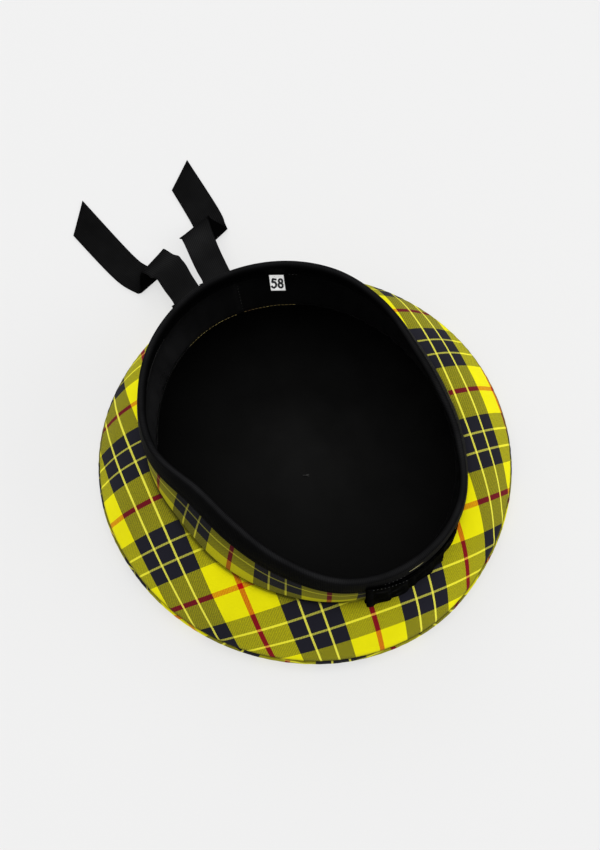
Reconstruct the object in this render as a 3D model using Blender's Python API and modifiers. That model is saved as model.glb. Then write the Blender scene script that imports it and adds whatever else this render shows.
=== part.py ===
# Balmoral bonnet, lying upside down on its crown with the head opening up.
# Metres, +Z up. The floor is z = 0, the crown's centre is over the origin,
# the cockade end is towards -Y and the two ribbon tails leave the rim at +Y.
import bpy
import bmesh
import math
from mathutils import Vector

# Head opening and crown, for a head of 580 mm round
RIM_HEIGHT = 0.078          # top of the binding above the floor, on average
RIM_SADDLE = 0.005          # the rim is this much lower at its two ends and higher at its sides
SEAM_HEIGHT = 0.038         # band to underside seam above the floor, on average
SEAM_SADDLE = 0.004
CROWN_EDGE_HEIGHT = 0.011   # seam between the top panel and the underside
CROWN_LEAN = 0.001          # the underside starts this far inside the crown's widest line
UNDERSIDE_BULGE = 0.0035    # how far the underside is crowned above a straight cone
BAND_BULGE = 0.001
BAND_PARTS = (0.0, 0.38, 0.7, 1.0)  # how far down the band its rows of facets lie

# Bearings are counted from +X towards +Y. Radii are from the crown's centre.
SECTION_COLUMNS = ("bearing", "rim", "seam", "edge")
SECTION_ROWS = (
    (0.0, 0.0756, 0.0885, 0.1238),
    (22.5, 0.0836, 0.0905, 0.1237),
    (45.0, 0.0943, 0.0950, 0.1238),
    (67.5, 0.1014, 0.0995, 0.1236),
    (90.0, 0.1043, 0.1020, 0.1236),
    (112.5, 0.1016, 0.0995, 0.1238),
    (135.0, 0.0957, 0.0950, 0.1243),
    (157.5, 0.0895, 0.0922, 0.1241),
    (180.0, 0.0771, 0.0886, 0.1232),
    (202.5, 0.0780, 0.0912, 0.1235),
    (225.0, 0.0875, 0.0948, 0.1247),
    (247.5, 0.1005, 0.0995, 0.1267),
    (270.0, 0.1042, 0.1020, 0.1272),
    (292.5, 0.1008, 0.0998, 0.1246),
    (315.0, 0.0875, 0.0948, 0.1237),
    (337.5, 0.0773, 0.0902, 0.1235),
)
BEARINGS = 48               # straight facets round the hat

# Cloth and trim
CLOTH = 0.0014
SATIN = 0.0008
RIBBON = 0.0010
GAP = 0.0003                # between two pieces that are sewn together
BINDING_DEPTH = 0.0130      # how far each leg of the binding comes down the band
BINDING_EASE = 0.0004       # the inner leg stands this much further off than a sewn gap
BINDING_CAP = 0.0013        # height of the rounded fold above the band's edge
BINDING_ROUND = 0.0009      # how far in and how far down the fold's edges are cut
BAND_OUTSET = 0.0004        # the band's outer face stands this far outside the rim's line
LINING_SLACK = 0.0032       # how far the band lining has come away from the band at its foot
# how much further than a sewn gap the crown lining stands off its cloth, from the band
# down over the underside and in over the top panel's first rows
LINING_EASE = (0.0032, 0.0010, 0.0, 0.0006, 0.0016, 0.0010, 0.0002)

# The top panel from the crown's edge seam to the toorie, upside down on the floor
# as rows of inset from the crown's edge and height
TOP_ROWS = (
    (0.0006, 0.0108),
    (0.0000, 0.0080),
    (0.0020, 0.0038),
    (0.0062, 0.0010),
    (0.0130, 0.0000),
)
TOP_FLAT_RADIUS = 0.0700
# The dimple that the toorie presses into its middle, as rows of radius and height
DIMPLE_ROWS = (
    (0.0330, 0.0000),
    (0.0255, 0.0042),
    (0.0185, 0.0094),
    (0.0100, 0.0124),
)
DIMPLE_TOP = 0.0130

TOORIE_RADIUS = 0.0175
TOORIE_HEIGHT = 0.0122
# its outline from the top down, as parts of its radius and of its height
TOORIE_ROWS = (
    (0.56, 1.00),
    (0.84, 0.82),
    (1.00, 0.48),
    (0.92, 0.18),
    (0.66, 0.00),
)
TOORIE_SIDES = 24

# Ribbon tails: a row for each bend of the middle line. turn is the direction of
# the ribbon's width in plan, roll lifts the width's far end, and wide is less
# than 1 where the ribbon cups across its width.
RIBBON_WIDTH = 0.0200
TAIL_COLUMNS = ("x", "y", "z", "turn", "roll", "wide")
RIGHT_TAIL_ROWS = (
    (0.0105, 0.1058, 0.0700, -6.0, 0.0, 1.00),
    (0.0125, 0.1076, 0.0590, -12.0, 0.0, 1.00),
    (0.0150, 0.1112, 0.0450, -18.0, 0.0, 1.00),
    (0.0182, 0.1180, 0.0310, -22.0, 0.0, 1.00),
    (0.0220, 0.1270, 0.0190, -20.0, 0.0, 1.00),
    (0.0262, 0.1370, 0.0120, -16.0, 0.0, 1.00),
    (0.0295, 0.1480, 0.0110, -13.0, 0.0, 1.00),
    (0.0328, 0.1600, 0.0128, -5.0, 0.0, 1.00),
    (0.0350, 0.1668, 0.0140, 8.0, 0.0, 1.00),
    (0.0360, 0.1688, 0.0122, 10.0, 0.0, 1.00),
    (0.0375, 0.1672, 0.0100, 10.0, 0.0, 1.00),
    (0.0422, 0.1602, 0.0062, 11.0, 0.0, 1.00),
    (0.0444, 0.1574, 0.0040, 11.0, 0.0, 1.00),
    (0.0449, 0.1565, 0.0022, 10.0, 0.0, 1.00),
    (0.0453, 0.1590, 0.0009, 4.0, 0.0, 1.00),
    (0.0478, 0.1780, 0.0006, -8.0, 0.0, 1.00),
    (0.0525, 0.2105, 0.0006, -8.7, 0.0, 1.00),
)
LEFT_TAIL_ROWS = (
    (-0.0105, 0.1058, 0.0700, 6.0, 0.0, 1.00),
    (-0.0085, 0.1076, 0.0590, 0.0, 0.0, 1.00),
    (-0.0060, 0.1112, 0.0450, -8.0, 0.0, 1.00),
    (-0.0030, 0.1180, 0.0310, -14.0, 0.0, 1.00),
    (0.0005, 0.1270, 0.0190, -14.0, 0.0, 1.00),
    (0.0045, 0.1370, 0.0120, -10.0, 0.0, 1.00),
    (0.0068, 0.1470, 0.0112, -5.0, 0.0, 1.00),
    (0.0068, 0.1560, 0.0134, 1.0, 8.0, 0.96),
    (0.0042, 0.1634, 0.0150, 8.0, 22.0, 0.76),
    (0.0022, 0.1652, 0.0134, 8.0, 23.0, 0.74),
    (0.0002, 0.1638, 0.0108, 5.0, 18.0, 0.78),
    (-0.0055, 0.1598, 0.0066, -8.0, 6.0, 0.95),
    (-0.0094, 0.1572, 0.0042, -18.0, 0.0, 1.00),
    (-0.0104, 0.1564, 0.0024, -20.0, 0.0, 1.00),
    (-0.0108, 0.1590, 0.0009, -14.0, 0.0, 1.00),
    (-0.0128, 0.1780, 0.0006, 4.0, 0.0, 1.00),
    (-0.0178, 0.2235, 0.0006, 6.0, 0.0, 1.00),
)
TAIL_STEPS = 3              # facets between two rows
TAIL_CUT = 0.0078           # each corner of the slanted end is this far from square
TAIL_CREASE = 0.8           # a slanting crease widens the strip no more than by 1 / this

# Cockade on the band's outside
COCKADE_BEARING = 270.5
COCKADE_WIDTH = 0.0660
COCKADE_TOP = 0.0080        # below the rim's line, along the band
COCKADE_HEIGHT = 0.0270
COCKADE_THICK = 0.0074
COCKADE_TAPER = 0.55        # how much thinner it is at the end that lies flat
COCKADE_SHARE = 0.55        # its height at its two ends, as a part of its full height
COCKADE_EDGE = 0.12         # how far round a half circle its upper and lower edges lie
COCKADE_ROWS = 5
COCKADE_COLUMNS = 14
COCKADE_RIPPLE = 0.0012
COCKADE_FOLDS = 7

# Size label inside the band
LABEL_BEARING = 64.0
LABEL_WIDTH = 0.0090
LABEL_HEIGHT = 0.0106
LABEL_TOP = 0.0085          # below the rim's line, along the band
LABEL_TILT = 45.0           # it is sewn by its top edge and stands off the lining
LABEL_THICK = 0.0006


def clear_scene():
    for thing in list(bpy.data.objects):
        bpy.data.objects.remove(thing, do_unlink=True)


def make_material(name, colour, roughness, sheen=0.0):
    material = bpy.data.materials.new(name)
    material.use_nodes = True
    shader = material.node_tree.nodes["Principled BSDF"]
    shader.inputs["Base Color"].default_value = (*colour, 1.0)
    shader.inputs["Roughness"].default_value = roughness
    shader.inputs["Metallic"].default_value = 0.0
    shader.inputs["Sheen Weight"].default_value = sheen
    return material


def new_object(name, mesh, material, collection):
    thing = bpy.data.objects.new(name, mesh)
    mesh.materials.append(material)
    mesh.shade_smooth()
    mesh.set_sharp_from_angle(angle=math.radians(40))
    collection.objects.link(thing)
    return thing


def mesh_from(name, points, faces):
    mesh = bpy.data.meshes.new(name)
    mesh.from_pydata(points, [], faces)
    mesh.update()
    return mesh


def catmull(before, start, end, after, part):
    return 0.5 * (
        2 * start
        + (end - before) * part
        + (2 * before - 5 * start + 4 * end - after) * part ** 2
        + (3 * start - before - 3 * end + after) * part ** 3
    )


def section(bearing):
    # One closed smooth curve through the rows, read at any bearing
    count = len(SECTION_ROWS)
    place = (bearing % 360.0) / (360.0 / count)
    index = int(place)
    near = [SECTION_ROWS[(index + step) % count] for step in (-1, 0, 1, 2)]
    values = {}
    for column, label in enumerate(SECTION_COLUMNS[1:], start=1):
        values[label] = catmull(*[row[column] for row in near], place - index)
    sag = math.cos(math.radians(2 * (bearing - 90.0)))
    values["rim_z"] = RIM_HEIGHT - BINDING_CAP - RIM_SADDLE * sag
    values["seam_z"] = SEAM_HEIGHT - SEAM_SADDLE * sag
    return values


def in_plan(bearing, radius, height):
    angle = math.radians(bearing)
    return Vector((radius * math.cos(angle), radius * math.sin(angle), height))


def side_normal(before, after):
    # Unit normal of a profile that runs from the rim down and out, pointing outwards
    along = Vector((after[0] - before[0], after[1] - before[1])).normalized()
    return Vector((-along.y, along.x))


def offset_profile(profile, depths):
    moved = []
    for index, point in enumerate(profile):
        before = profile[max(index - 1, 0)]
        after = profile[min(index + 1, len(profile) - 1)]
        normal = side_normal(before, after)
        moved.append(Vector(point) - normal * depths[index])
    return moved


def band_frame(bearing):
    # The rim's point, the unit step down the band and the band's outward normal
    values = section(bearing)
    rim = Vector((values["rim"] + BAND_OUTSET, values["rim_z"]))
    seam = Vector((values["seam"], values["seam_z"]))
    down = (seam - rim).normalized()
    normal = Vector((-down.y, down.x))
    return rim, seam, down, normal


def band_place(bearing, depth, outset):
    # Radius and height on the band: depth down from the rim, outset outside its outer face
    rim, seam, down, normal = band_frame(bearing)
    length = (seam - rim).length
    swell = BAND_BULGE * math.sin(math.pi * min(max(depth / length, 0.0), 1.0))
    return rim + down * depth + normal * (outset + swell)


def band_point(bearing, depth, outset):
    place = band_place(bearing, depth, outset)
    return in_plan(bearing, place.x, place.y)


def band_length(bearing):
    rim, seam, down, normal = band_frame(bearing)
    return (seam - rim).length


def underside_profile(bearing):
    values = section(bearing)
    start = Vector((values["seam"] + GAP, values["seam_z"] - 2 * GAP))
    end = Vector((values["edge"] - CROWN_LEAN, CROWN_EDGE_HEIGHT + GAP))
    normal = side_normal(start, end)
    middle = (start + end) / 2 + normal * UNDERSIDE_BULGE * 2
    profile = []
    for part in (0.0, 0.25, 0.5, 0.75, 1.0):
        near = start.lerp(middle, part)
        far = middle.lerp(end, part)
        profile.append(near.lerp(far, part))
    return profile


def top_profile(bearing):
    edge = section(bearing)["edge"]
    profile = [Vector((edge - inset, height)) for inset, height in TOP_ROWS]
    profile.append(Vector((TOP_FLAT_RADIUS, 0.0)))
    profile.extend(Vector(row) for row in DIMPLE_ROWS)
    return profile


def shell(name, profiles, thickness, material, collection, centre=None):
    # A surface lofted round the hat, with a wall inside it
    rows = len(profiles[0])
    points = []
    faces = []
    for index, profile in enumerate(profiles):
        bearing = 360.0 * index / BEARINGS
        points.extend(in_plan(bearing, place[0], place[1]) for place in profile)
    for index in range(BEARINGS):
        here = index * rows
        there = ((index + 1) % BEARINGS) * rows
        for row in range(rows - 1):
            faces.append((here + row, here + row + 1, there + row + 1, there + row))
    if centre is not None:
        points.append(Vector((0.0, 0.0, centre)))
        for index in range(BEARINGS):
            here = index * rows + rows - 1
            there = ((index + 1) % BEARINGS) * rows + rows - 1
            faces.append((here, len(points) - 1, there))
    thing = new_object(name, mesh_from(name, points, faces), material, collection)
    wall = thing.modifiers.new("wall", "SOLIDIFY")
    wall.thickness = thickness
    wall.offset = -1.0
    wall.use_even_offset = True
    return thing


def bearings():
    return [360.0 * index / BEARINGS for index in range(BEARINGS)]


def make_headband(collection, material):
    profiles = []
    for bearing in bearings():
        length = band_length(bearing)
        profile = [band_place(bearing, length * part, 0.0) for part in BAND_PARTS]
        profiles.append(profile)
    return shell("headband", profiles, CLOTH, material, collection)


def make_lining_band(collection, material):
    # Close behind the binding, and a little away from the band towards its foot
    profiles = []
    for bearing in bearings():
        length = band_length(bearing)
        profile = []
        for part in BAND_PARTS:
            slack = LINING_SLACK * max(part - BAND_PARTS[1], 0.0) / (1.0 - BAND_PARTS[1])
            profile.append(band_place(bearing, length * part, -(CLOTH + GAP + slack)))
        profiles.append(profile)
    return shell("lining_band", profiles, SATIN, material, collection)


def make_binding(collection, material):
    # A folded strip over the band's edge: outer leg, rounded fold and inner leg
    outside = GAP + RIBBON
    inner_face = -(CLOTH + SATIN + 2 * GAP + BINDING_EASE)
    inside = inner_face - RIBBON
    middle = (outside + inside) / 2
    outline = (
        (outside, BINDING_DEPTH),
        (outside, 0.0),
        (outside - BINDING_ROUND, -BINDING_ROUND),
        (middle, -BINDING_CAP),
        (inside + BINDING_ROUND, -BINDING_ROUND),
        (inside, 0.0),
        (inside, BINDING_DEPTH),
        (inner_face, BINDING_DEPTH),
        (inner_face, -GAP),
        (GAP, -GAP),
        (GAP, BINDING_DEPTH),
    )
    points = []
    faces = []
    count = len(outline)
    for bearing in bearings():
        for outset, depth in outline:
            points.append(band_point(bearing, depth, outset))
    for index in range(BEARINGS):
        here = index * count
        there = ((index + 1) % BEARINGS) * count
        for row in range(count):
            after = (row + 1) % count
            faces.append((here + row, there + row, there + after, here + after))
    return new_object("rim_binding", mesh_from("rim_binding", points, faces), material, collection)


def make_underside(collection, material):
    profiles = [underside_profile(bearing) for bearing in bearings()]
    return shell("crown_underside", profiles, CLOTH, material, collection)


def make_top(collection, material):
    profiles = [top_profile(bearing) for bearing in bearings()]
    return shell("crown_top", profiles, CLOTH, material, collection, centre=DIMPLE_TOP)


def make_lining_crown(collection, material):
    # The bag follows the crown inside its cloth, and hangs a little free at the band
    skin = CLOTH + 2 * GAP
    profiles = []
    for bearing in bearings():
        under = underside_profile(bearing)[:-1]
        top = top_profile(bearing)[2:]
        flat_rows = len(under) + len(top) - len(LINING_EASE)
        depths = [skin + ease for ease in LINING_EASE] + [skin] * flat_rows
        profiles.append(offset_profile(under + top, depths))
    return shell("lining_crown", profiles, SATIN, material, collection, centre=DIMPLE_TOP + skin)


def make_toorie(collection, material):
    points = []
    faces = []
    for across, up in TOORIE_ROWS:
        for side in range(TOORIE_SIDES):
            bearing = 360.0 * side / TOORIE_SIDES
            points.append(in_plan(bearing, TOORIE_RADIUS * across, TOORIE_HEIGHT * up))
    for row in range(len(TOORIE_ROWS) - 1):
        for side in range(TOORIE_SIDES):
            after = (side + 1) % TOORIE_SIDES
            here = row * TOORIE_SIDES
            there = here + TOORIE_SIDES
            faces.append((here + side, there + side, there + after, here + after))
    last = (len(TOORIE_ROWS) - 1) * TOORIE_SIDES
    faces.append(tuple(range(TOORIE_SIDES)))
    faces.append(tuple(last + side for side in reversed(range(TOORIE_SIDES))))
    return new_object("toorie", mesh_from("toorie", points, faces), material, collection)


def strip_solid(name, tops, bottoms, material, collection):
    # A flat strip from two grids of points that lie over each other
    stations = len(tops)
    across = len(tops[0])
    points = [point for row in tops for point in row]
    lower = len(points)
    points.extend(point for row in bottoms for point in row)
    faces = []
    for index in range(stations - 1):
        for step in range(across - 1):
            here = index * across + step
            faces.append((here, here + 1, here + across + 1, here + across))
            below = lower + here
            faces.append((below, below + across, below + across + 1, below + 1))
        left = index * across
        faces.append((left, left + across, lower + left + across, lower + left))
        right = left + across - 1
        faces.append((right, lower + right, lower + right + across, right + across))
    last = (stations - 1) * across
    for step in range(across - 1):
        faces.append((step, lower + step, lower + step + 1, step + 1))
        here = last + step
        faces.append((here, here + 1, lower + here + 1, lower + here))
    mesh = mesh_from(name, points, faces)
    shape = bmesh.new()
    shape.from_mesh(mesh)
    bmesh.ops.recalc_face_normals(shape, faces=shape.faces)
    shape.to_mesh(mesh)
    shape.free()
    return new_object(name, mesh, material, collection)


def tail_stations(rows):
    stations = []
    last = len(rows) - 1
    columns = range(len(TAIL_COLUMNS))
    for index in range(last):
        near = [rows[min(max(index + step, 0), last)] for step in (-1, 0, 1, 2)]
        for step in range(TAIL_STEPS):
            part = step / TAIL_STEPS
            stations.append([catmull(*[row[column] for row in near], part) for column in columns])
    stations.append(list(rows[last]))
    return stations


def make_tail(name, rows, collection, material):
    stations = tail_stations(rows)
    middles = [Vector(station[:3]) for station in stations]
    last = len(stations) - 1
    tops = []
    bottoms = []
    for index, (x, y, z, turn, roll, wide) in enumerate(stations):
        level = math.cos(math.radians(roll))
        across = Vector((
            math.cos(math.radians(turn)) * level,
            math.sin(math.radians(turn)) * level,
            math.sin(math.radians(roll)),
        ))
        along = (middles[min(index + 1, last)] - middles[max(index - 1, 0)]).normalized()
        face = across.cross(along)
        half = RIBBON_WIDTH * wide / 2 / max(face.length, TAIL_CREASE)
        lift = face.normalized() * (RIBBON / 2)
        cut = along * TAIL_CUT if index == last else Vector()
        edges = (middles[index] - across * half - cut, middles[index] + across * half + cut)
        tops.append([edge + lift for edge in edges])
        bottoms.append([edge - lift for edge in edges])
    return strip_solid(name, tops, bottoms, material, collection)


def make_cockade(collection, material):
    # The outer form of a pleated rosette: a thick pad, bowed along the band
    radius = section(COCKADE_BEARING)["rim"]
    spread = math.degrees(COCKADE_WIDTH / radius)
    outer = []
    inner = []
    for row in range(COCKADE_ROWS):
        down = row / (COCKADE_ROWS - 1)
        outer_row = []
        inner_row = []
        for column in range(COCKADE_COLUMNS + 1):
            across = 2 * column / COCKADE_COLUMNS - 1
            bearing = COCKADE_BEARING + across * spread / 2
            # a rounded outline, and an edge that waves with the folds
            reach = math.sqrt(1 - across ** 4)
            share = COCKADE_SHARE + (1 - COCKADE_SHARE) * reach
            middle = COCKADE_TOP + COCKADE_HEIGHT / 2
            depth = middle + (down - 0.5) * COCKADE_HEIGHT * share
            wave = COCKADE_RIPPLE * math.cos(COCKADE_FOLDS * math.pi * across)
            crown = math.sin(math.pi * (COCKADE_EDGE + (1 - 2 * COCKADE_EDGE) * down)) * share
            crown *= 1 - COCKADE_TAPER * (across + 1) / 2
            base = RIBBON + 2 * GAP
            outer_row.append(band_point(bearing, depth, base + COCKADE_THICK * crown + wave * down))
            inner_row.append(band_point(bearing, depth, base))
        outer.append(outer_row)
        inner.append(inner_row)
    return strip_solid("cockade", outer, inner, material, collection)


def make_label(collection, material):
    # A tab sewn by its top edge to the binding's inner leg, facing up out of the hat
    radius = section(LABEL_BEARING)["rim"]
    half = math.degrees(LABEL_WIDTH / 2 / radius)
    sewn = -(CLOTH + SATIN + RIBBON + 3 * GAP + BINDING_EASE)
    tilt = math.radians(LABEL_TILT)
    front = []
    back = []
    for reach in (0.0, LABEL_HEIGHT):
        depth = LABEL_TOP + reach * math.cos(tilt)
        outset = sewn - reach * math.sin(tilt)
        ends = (LABEL_BEARING - half, LABEL_BEARING + half)
        back.append([band_point(bearing, depth, outset) for bearing in ends])
        lift = Vector((-LABEL_THICK * math.sin(tilt), -LABEL_THICK * math.cos(tilt)))
        front.append([band_point(bearing, depth + lift.x, outset + lift.y) for bearing in ends])
    return strip_solid("size_label", front, back, material, collection)


def make_bonnet():
    clear_scene()
    collection = bpy.data.collections.new("balmoral_bonnet")
    bpy.context.scene.collection.children.link(collection)
    tartan_top = make_material("top_tartan", (0.42, 0.36, 0.03), 0.85, 0.2)
    tartan_under = make_material("underside_tartan", (0.45, 0.40, 0.03), 0.85, 0.2)
    tartan_band = make_material("band_tartan", (0.36, 0.31, 0.03), 0.85, 0.2)
    binding = make_material("binding_ribbon", (0.006, 0.006, 0.008), 0.55)
    band_satin = make_material("band_satin", (0.008, 0.008, 0.010), 0.40)
    crown_satin = make_material("crown_satin", (0.005, 0.005, 0.006), 0.45)
    right_ribbon = make_material("right_tail_ribbon", (0.010, 0.010, 0.011), 0.60)
    left_ribbon = make_material("left_tail_ribbon", (0.010, 0.010, 0.011), 0.60)
    rosette = make_material("cockade_ribbon", (0.008, 0.008, 0.009), 0.60)
    yarn = make_material("toorie_yarn", (0.012, 0.012, 0.014), 0.95, 0.4)
    tape = make_material("label_tape", (0.80, 0.80, 0.78), 0.70)
    make_top(collection, tartan_top)
    make_underside(collection, tartan_under)
    make_headband(collection, tartan_band)
    make_binding(collection, binding)
    make_lining_band(collection, band_satin)
    make_lining_crown(collection, crown_satin)
    make_tail("ribbon_tail_right", RIGHT_TAIL_ROWS, collection, right_ribbon)
    make_tail("ribbon_tail_left", LEFT_TAIL_ROWS, collection, left_ribbon)
    make_cockade(collection, rosette)
    make_toorie(collection, yarn)
    make_label(collection, tape)


make_bonnet()
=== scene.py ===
# Balmoral bonnet lying upside down on its crown: its looks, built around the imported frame.
# Metres, +Z up, the floor is z = 0. The cockade end is towards -Y, the ribbon tails towards +Y.
import math

import bmesh
import bpy
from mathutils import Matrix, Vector, noise


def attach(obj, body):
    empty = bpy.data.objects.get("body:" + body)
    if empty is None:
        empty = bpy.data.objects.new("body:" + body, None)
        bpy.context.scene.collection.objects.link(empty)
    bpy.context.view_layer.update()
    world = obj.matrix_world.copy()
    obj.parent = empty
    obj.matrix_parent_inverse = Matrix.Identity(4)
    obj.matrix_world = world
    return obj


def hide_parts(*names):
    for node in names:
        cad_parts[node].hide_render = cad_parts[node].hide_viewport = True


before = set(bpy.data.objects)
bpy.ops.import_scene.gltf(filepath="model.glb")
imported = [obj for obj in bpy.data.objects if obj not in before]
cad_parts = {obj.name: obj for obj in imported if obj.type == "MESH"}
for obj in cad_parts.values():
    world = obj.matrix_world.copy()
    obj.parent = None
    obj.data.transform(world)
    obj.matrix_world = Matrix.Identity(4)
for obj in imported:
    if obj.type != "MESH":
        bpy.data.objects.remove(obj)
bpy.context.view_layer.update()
scene = bpy.context.scene
scene.view_settings.view_transform = "Standard"
print("frame:", len(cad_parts), "nodes")


# Nodes and materials
def setInput(tree, socket, value):
    # a link from another node's socket, or a plain value
    if isinstance(value, bpy.types.NodeSocket):
        tree.links.new(value, socket)
    elif socket.type == "RGBA":
        socket.default_value = (*value, 1.0)
    else:
        socket.default_value = value


def addNode(tree, kind, settings=None, **inputs):
    node = tree.nodes.new(kind)
    for name, value in (settings or {}).items():
        setattr(node, name, value)
    for name, value in inputs.items():
        setInput(tree, node.inputs[name.replace("_", " ")], value)
    return node


def compute(tree, operation, *values):
    node = addNode(tree, "ShaderNodeMath", {"operation": operation})
    for socket, value in zip(node.inputs, values):
        setInput(tree, socket, value)
    return node.outputs[0]


def mixed(tree, kind, factor, first, second):
    # each kind of mix has its own pair of sockets, and its own output
    pair, output = {"FLOAT": (2, 0), "RGBA": (6, 2)}[kind]
    node = addNode(tree, "ShaderNodeMix", {"data_type": kind}, Factor=factor)
    setInput(tree, node.inputs[pair], first)
    setInput(tree, node.inputs[pair + 1], second)
    return node.outputs[output]


def newGroup(kind, name, inputs, outputs):
    # inputs and outputs hold each label with its kind of socket
    group = bpy.data.node_groups.new(name, f"{kind}NodeTree")
    for way, sockets in (("INPUT", inputs), ("OUTPUT", outputs)):
        for title, socket in sockets.items():
            group.interface.new_socket(title, in_out=way, socket_type=f"NodeSocket{socket}")
    start = group.nodes.new("NodeGroupInput")
    end = group.nodes.new("NodeGroupOutput")
    return group, start.outputs, end.inputs


def useGroup(tree, group, **inputs):
    return addNode(tree, "ShaderNodeGroup", {"node_tree": group}, **inputs).outputs


def newMaterial(name, **inputs):
    material = bpy.data.materials.new(name)
    material.use_nodes = True
    shader = material.node_tree.nodes["Principled BSDF"]
    for title, value in inputs.items():
        setInput(material.node_tree, shader.inputs[title.replace("_", " ")], value)
    return material, material.node_tree, shader.inputs


def addThing(name, data):
    thing = bpy.data.objects.new(name, data)
    scene.collection.objects.link(thing)
    return thing


# The photograph's view
photoView = {
    "target": Vector((-0.00168, 0.00355, 0.060)),
    "distance": 1.1,
    "azimuth": -36.0,
    "elevation": 67.416,
    "lens": 80.88,
    "sensor": 36.0,           # the picture's long side
    "nearest": 0.01,
    "farthest": 50.0,
}

studio = {
    "floorSize": 40.0,
    "floorColour": (0.22, 0.22, 0.22),
    "floorRoughness": 0.9,
    "floorGloss": 0.1,
    "floorGlow": 0.63,        # an evenly lit table, as the picture's plain background shows
    "skyColour": (1.0, 1.0, 1.0),
    "skyStrength": 0.62,
    # name, place, size, power, each aimed at the bonnet
    "lamps": (
        ("overheadPanel", (-0.35, 0.10, 1.75), 1.7, 13.0),
        ("frontPanel", (1.20, -0.90, 1.00), 1.2, 9.0),
        ("backPanel", (0.60, 1.20, 1.00), 1.0, 4.0),
    ),
}


def makeCamera():
    azimuth = math.radians(photoView["azimuth"])
    elevation = math.radians(photoView["elevation"])
    back = Vector((
        math.sin(azimuth) * math.cos(elevation),
        -math.cos(azimuth) * math.cos(elevation),
        math.sin(elevation),
    ))
    data = bpy.data.cameras.new("photoCamera")
    data.sensor_width = photoView["sensor"]
    data.lens = photoView["lens"]
    data.clip_start = photoView["nearest"]
    data.clip_end = photoView["farthest"]
    camera = addThing("photoCamera", data)
    camera.location = photoView["target"] + back * photoView["distance"]
    camera.rotation_mode = "QUATERNION"
    camera.rotation_quaternion = (-back).to_track_quat("-Z", "Y")
    scene.camera = camera


def makeStudio():
    half = studio["floorSize"] / 2
    mesh = bpy.data.meshes.new("floor")
    corners = [(-half, -half, 0), (half, -half, 0), (half, half, 0), (-half, half, 0)]
    mesh.from_pydata(corners, [], [(0, 1, 2, 3)])
    material, tree, shader = newMaterial(
        "paleFloor", Base_Color=studio["floorColour"], Roughness=studio["floorRoughness"],
        Specular_IOR_Level=studio["floorGloss"], Emission_Color=(1.0, 1.0, 1.0),
        Emission_Strength=studio["floorGlow"])
    mesh.materials.append(material)
    addThing("floor", mesh)
    world = bpy.data.worlds.new("softSky")
    world.use_nodes = True
    sky = world.node_tree.nodes["Background"].inputs
    sky["Color"].default_value = (*studio["skyColour"], 1.0)
    sky["Strength"].default_value = studio["skyStrength"]
    scene.world = world
    for name, place, size, power in studio["lamps"]:
        data = bpy.data.lights.new(name, "AREA")
        data.size = size
        data.energy = power
        lamp = addThing(name, data)
        lamp.location = place
        aim = photoView["target"] - Vector(place)
        lamp.rotation_euler = aim.to_track_quat("-Z", "Y").to_euler()


makeCamera()
makeStudio()
print("camera and studio: done")

# The bonnet's own sizes, the same as its CAD source has
bonnet = {
    "roundSteps": 288,        # columns of faces round the hat
    "rimHeight": 0.078,
    "rimSaddle": 0.005,       # the rim is this much lower at its two ends
    "seamHeight": 0.038,
    "seamSaddle": 0.004,
    "edgeHeight": 0.011,      # seam between the top panel and the underside
    "edgeLean": 0.001,
    "undersideBulge": 0.0035,
    "bandBulge": 0.001,
    "bandOutset": 0.0004,
    "gap": 0.0003,
    "cloth": 0.0014,
    "satin": 0.0008,
    "ribbon": 0.0010,
    "bindingDepth": 0.0130,
    "bindingCap": 0.0013,
    "liningSlack": 0.0044,
    "flatRadius": 0.0700,
    "dimpleTop": 0.0130,
}
# bearing from +X towards +Y, then radii of rim, band seam and crown edge
sectionRows = (
    (0.0, 0.0756, 0.0885, 0.1238),
    (22.5, 0.0836, 0.0905, 0.1237),
    (45.0, 0.0943, 0.0950, 0.1238),
    (67.5, 0.1014, 0.0995, 0.1236),
    (90.0, 0.1043, 0.1020, 0.1236),
    (112.5, 0.1016, 0.0995, 0.1238),
    (135.0, 0.0957, 0.0950, 0.1243),
    (157.5, 0.0895, 0.0922, 0.1241),
    (180.0, 0.0771, 0.0886, 0.1232),
    (202.5, 0.0780, 0.0912, 0.1235),
    (225.0, 0.0875, 0.0948, 0.1247),
    (247.5, 0.1005, 0.0995, 0.1267),
    (270.0, 0.1042, 0.1020, 0.1272),
    (292.5, 0.1008, 0.0998, 0.1246),
    (315.0, 0.0875, 0.0948, 0.1237),
    (337.5, 0.0773, 0.0902, 0.1235),
)
# the top panel from its edge seam inwards: inset from the edge, height
topRows = (
    (0.0006, 0.0108),
    (0.0000, 0.0080),
    (0.0020, 0.0038),
    (0.0062, 0.0010),
    (0.0130, 0.0000),
)
# the dimple over the toorie: radius, height
dimpleRows = (
    (0.0330, 0.0000),
    (0.0255, 0.0042),
    (0.0185, 0.0094),
    (0.0100, 0.0124),
)


# Curves and places on the hat
def catmull(before, start, end, after, part):
    return 0.5 * (
        2 * start
        + (end - before) * part
        + (2 * before - 5 * start + 4 * end - after) * part ** 2
        + (3 * start - before - 3 * end + after) * part ** 3
    )


def fourNear(rows, index):
    # the rows on both sides of a stretch of a curve with two ends
    last = len(rows) - 1
    return [rows[min(max(index + step, 0), last)] for step in (-1, 0, 1, 2)]


def smoothProfile(points, steps):
    # a curve through the points, read at steps places between each two
    curve = []
    for index in range(len(points) - 1):
        near = [Vector(point) for point in fourNear(points, index)]
        curve.extend(catmull(*near, step / steps) for step in range(steps))
    curve.append(Vector(points[-1]))
    return curve


def smooth(part):
    part = min(max(part, 0.0), 1.0)
    return part * part * (3 - 2 * part)


def fading(distance, reach):
    return math.exp(-distance / reach)


def hump(distance, reach):
    return math.exp(-(distance / reach) ** 2)


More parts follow.
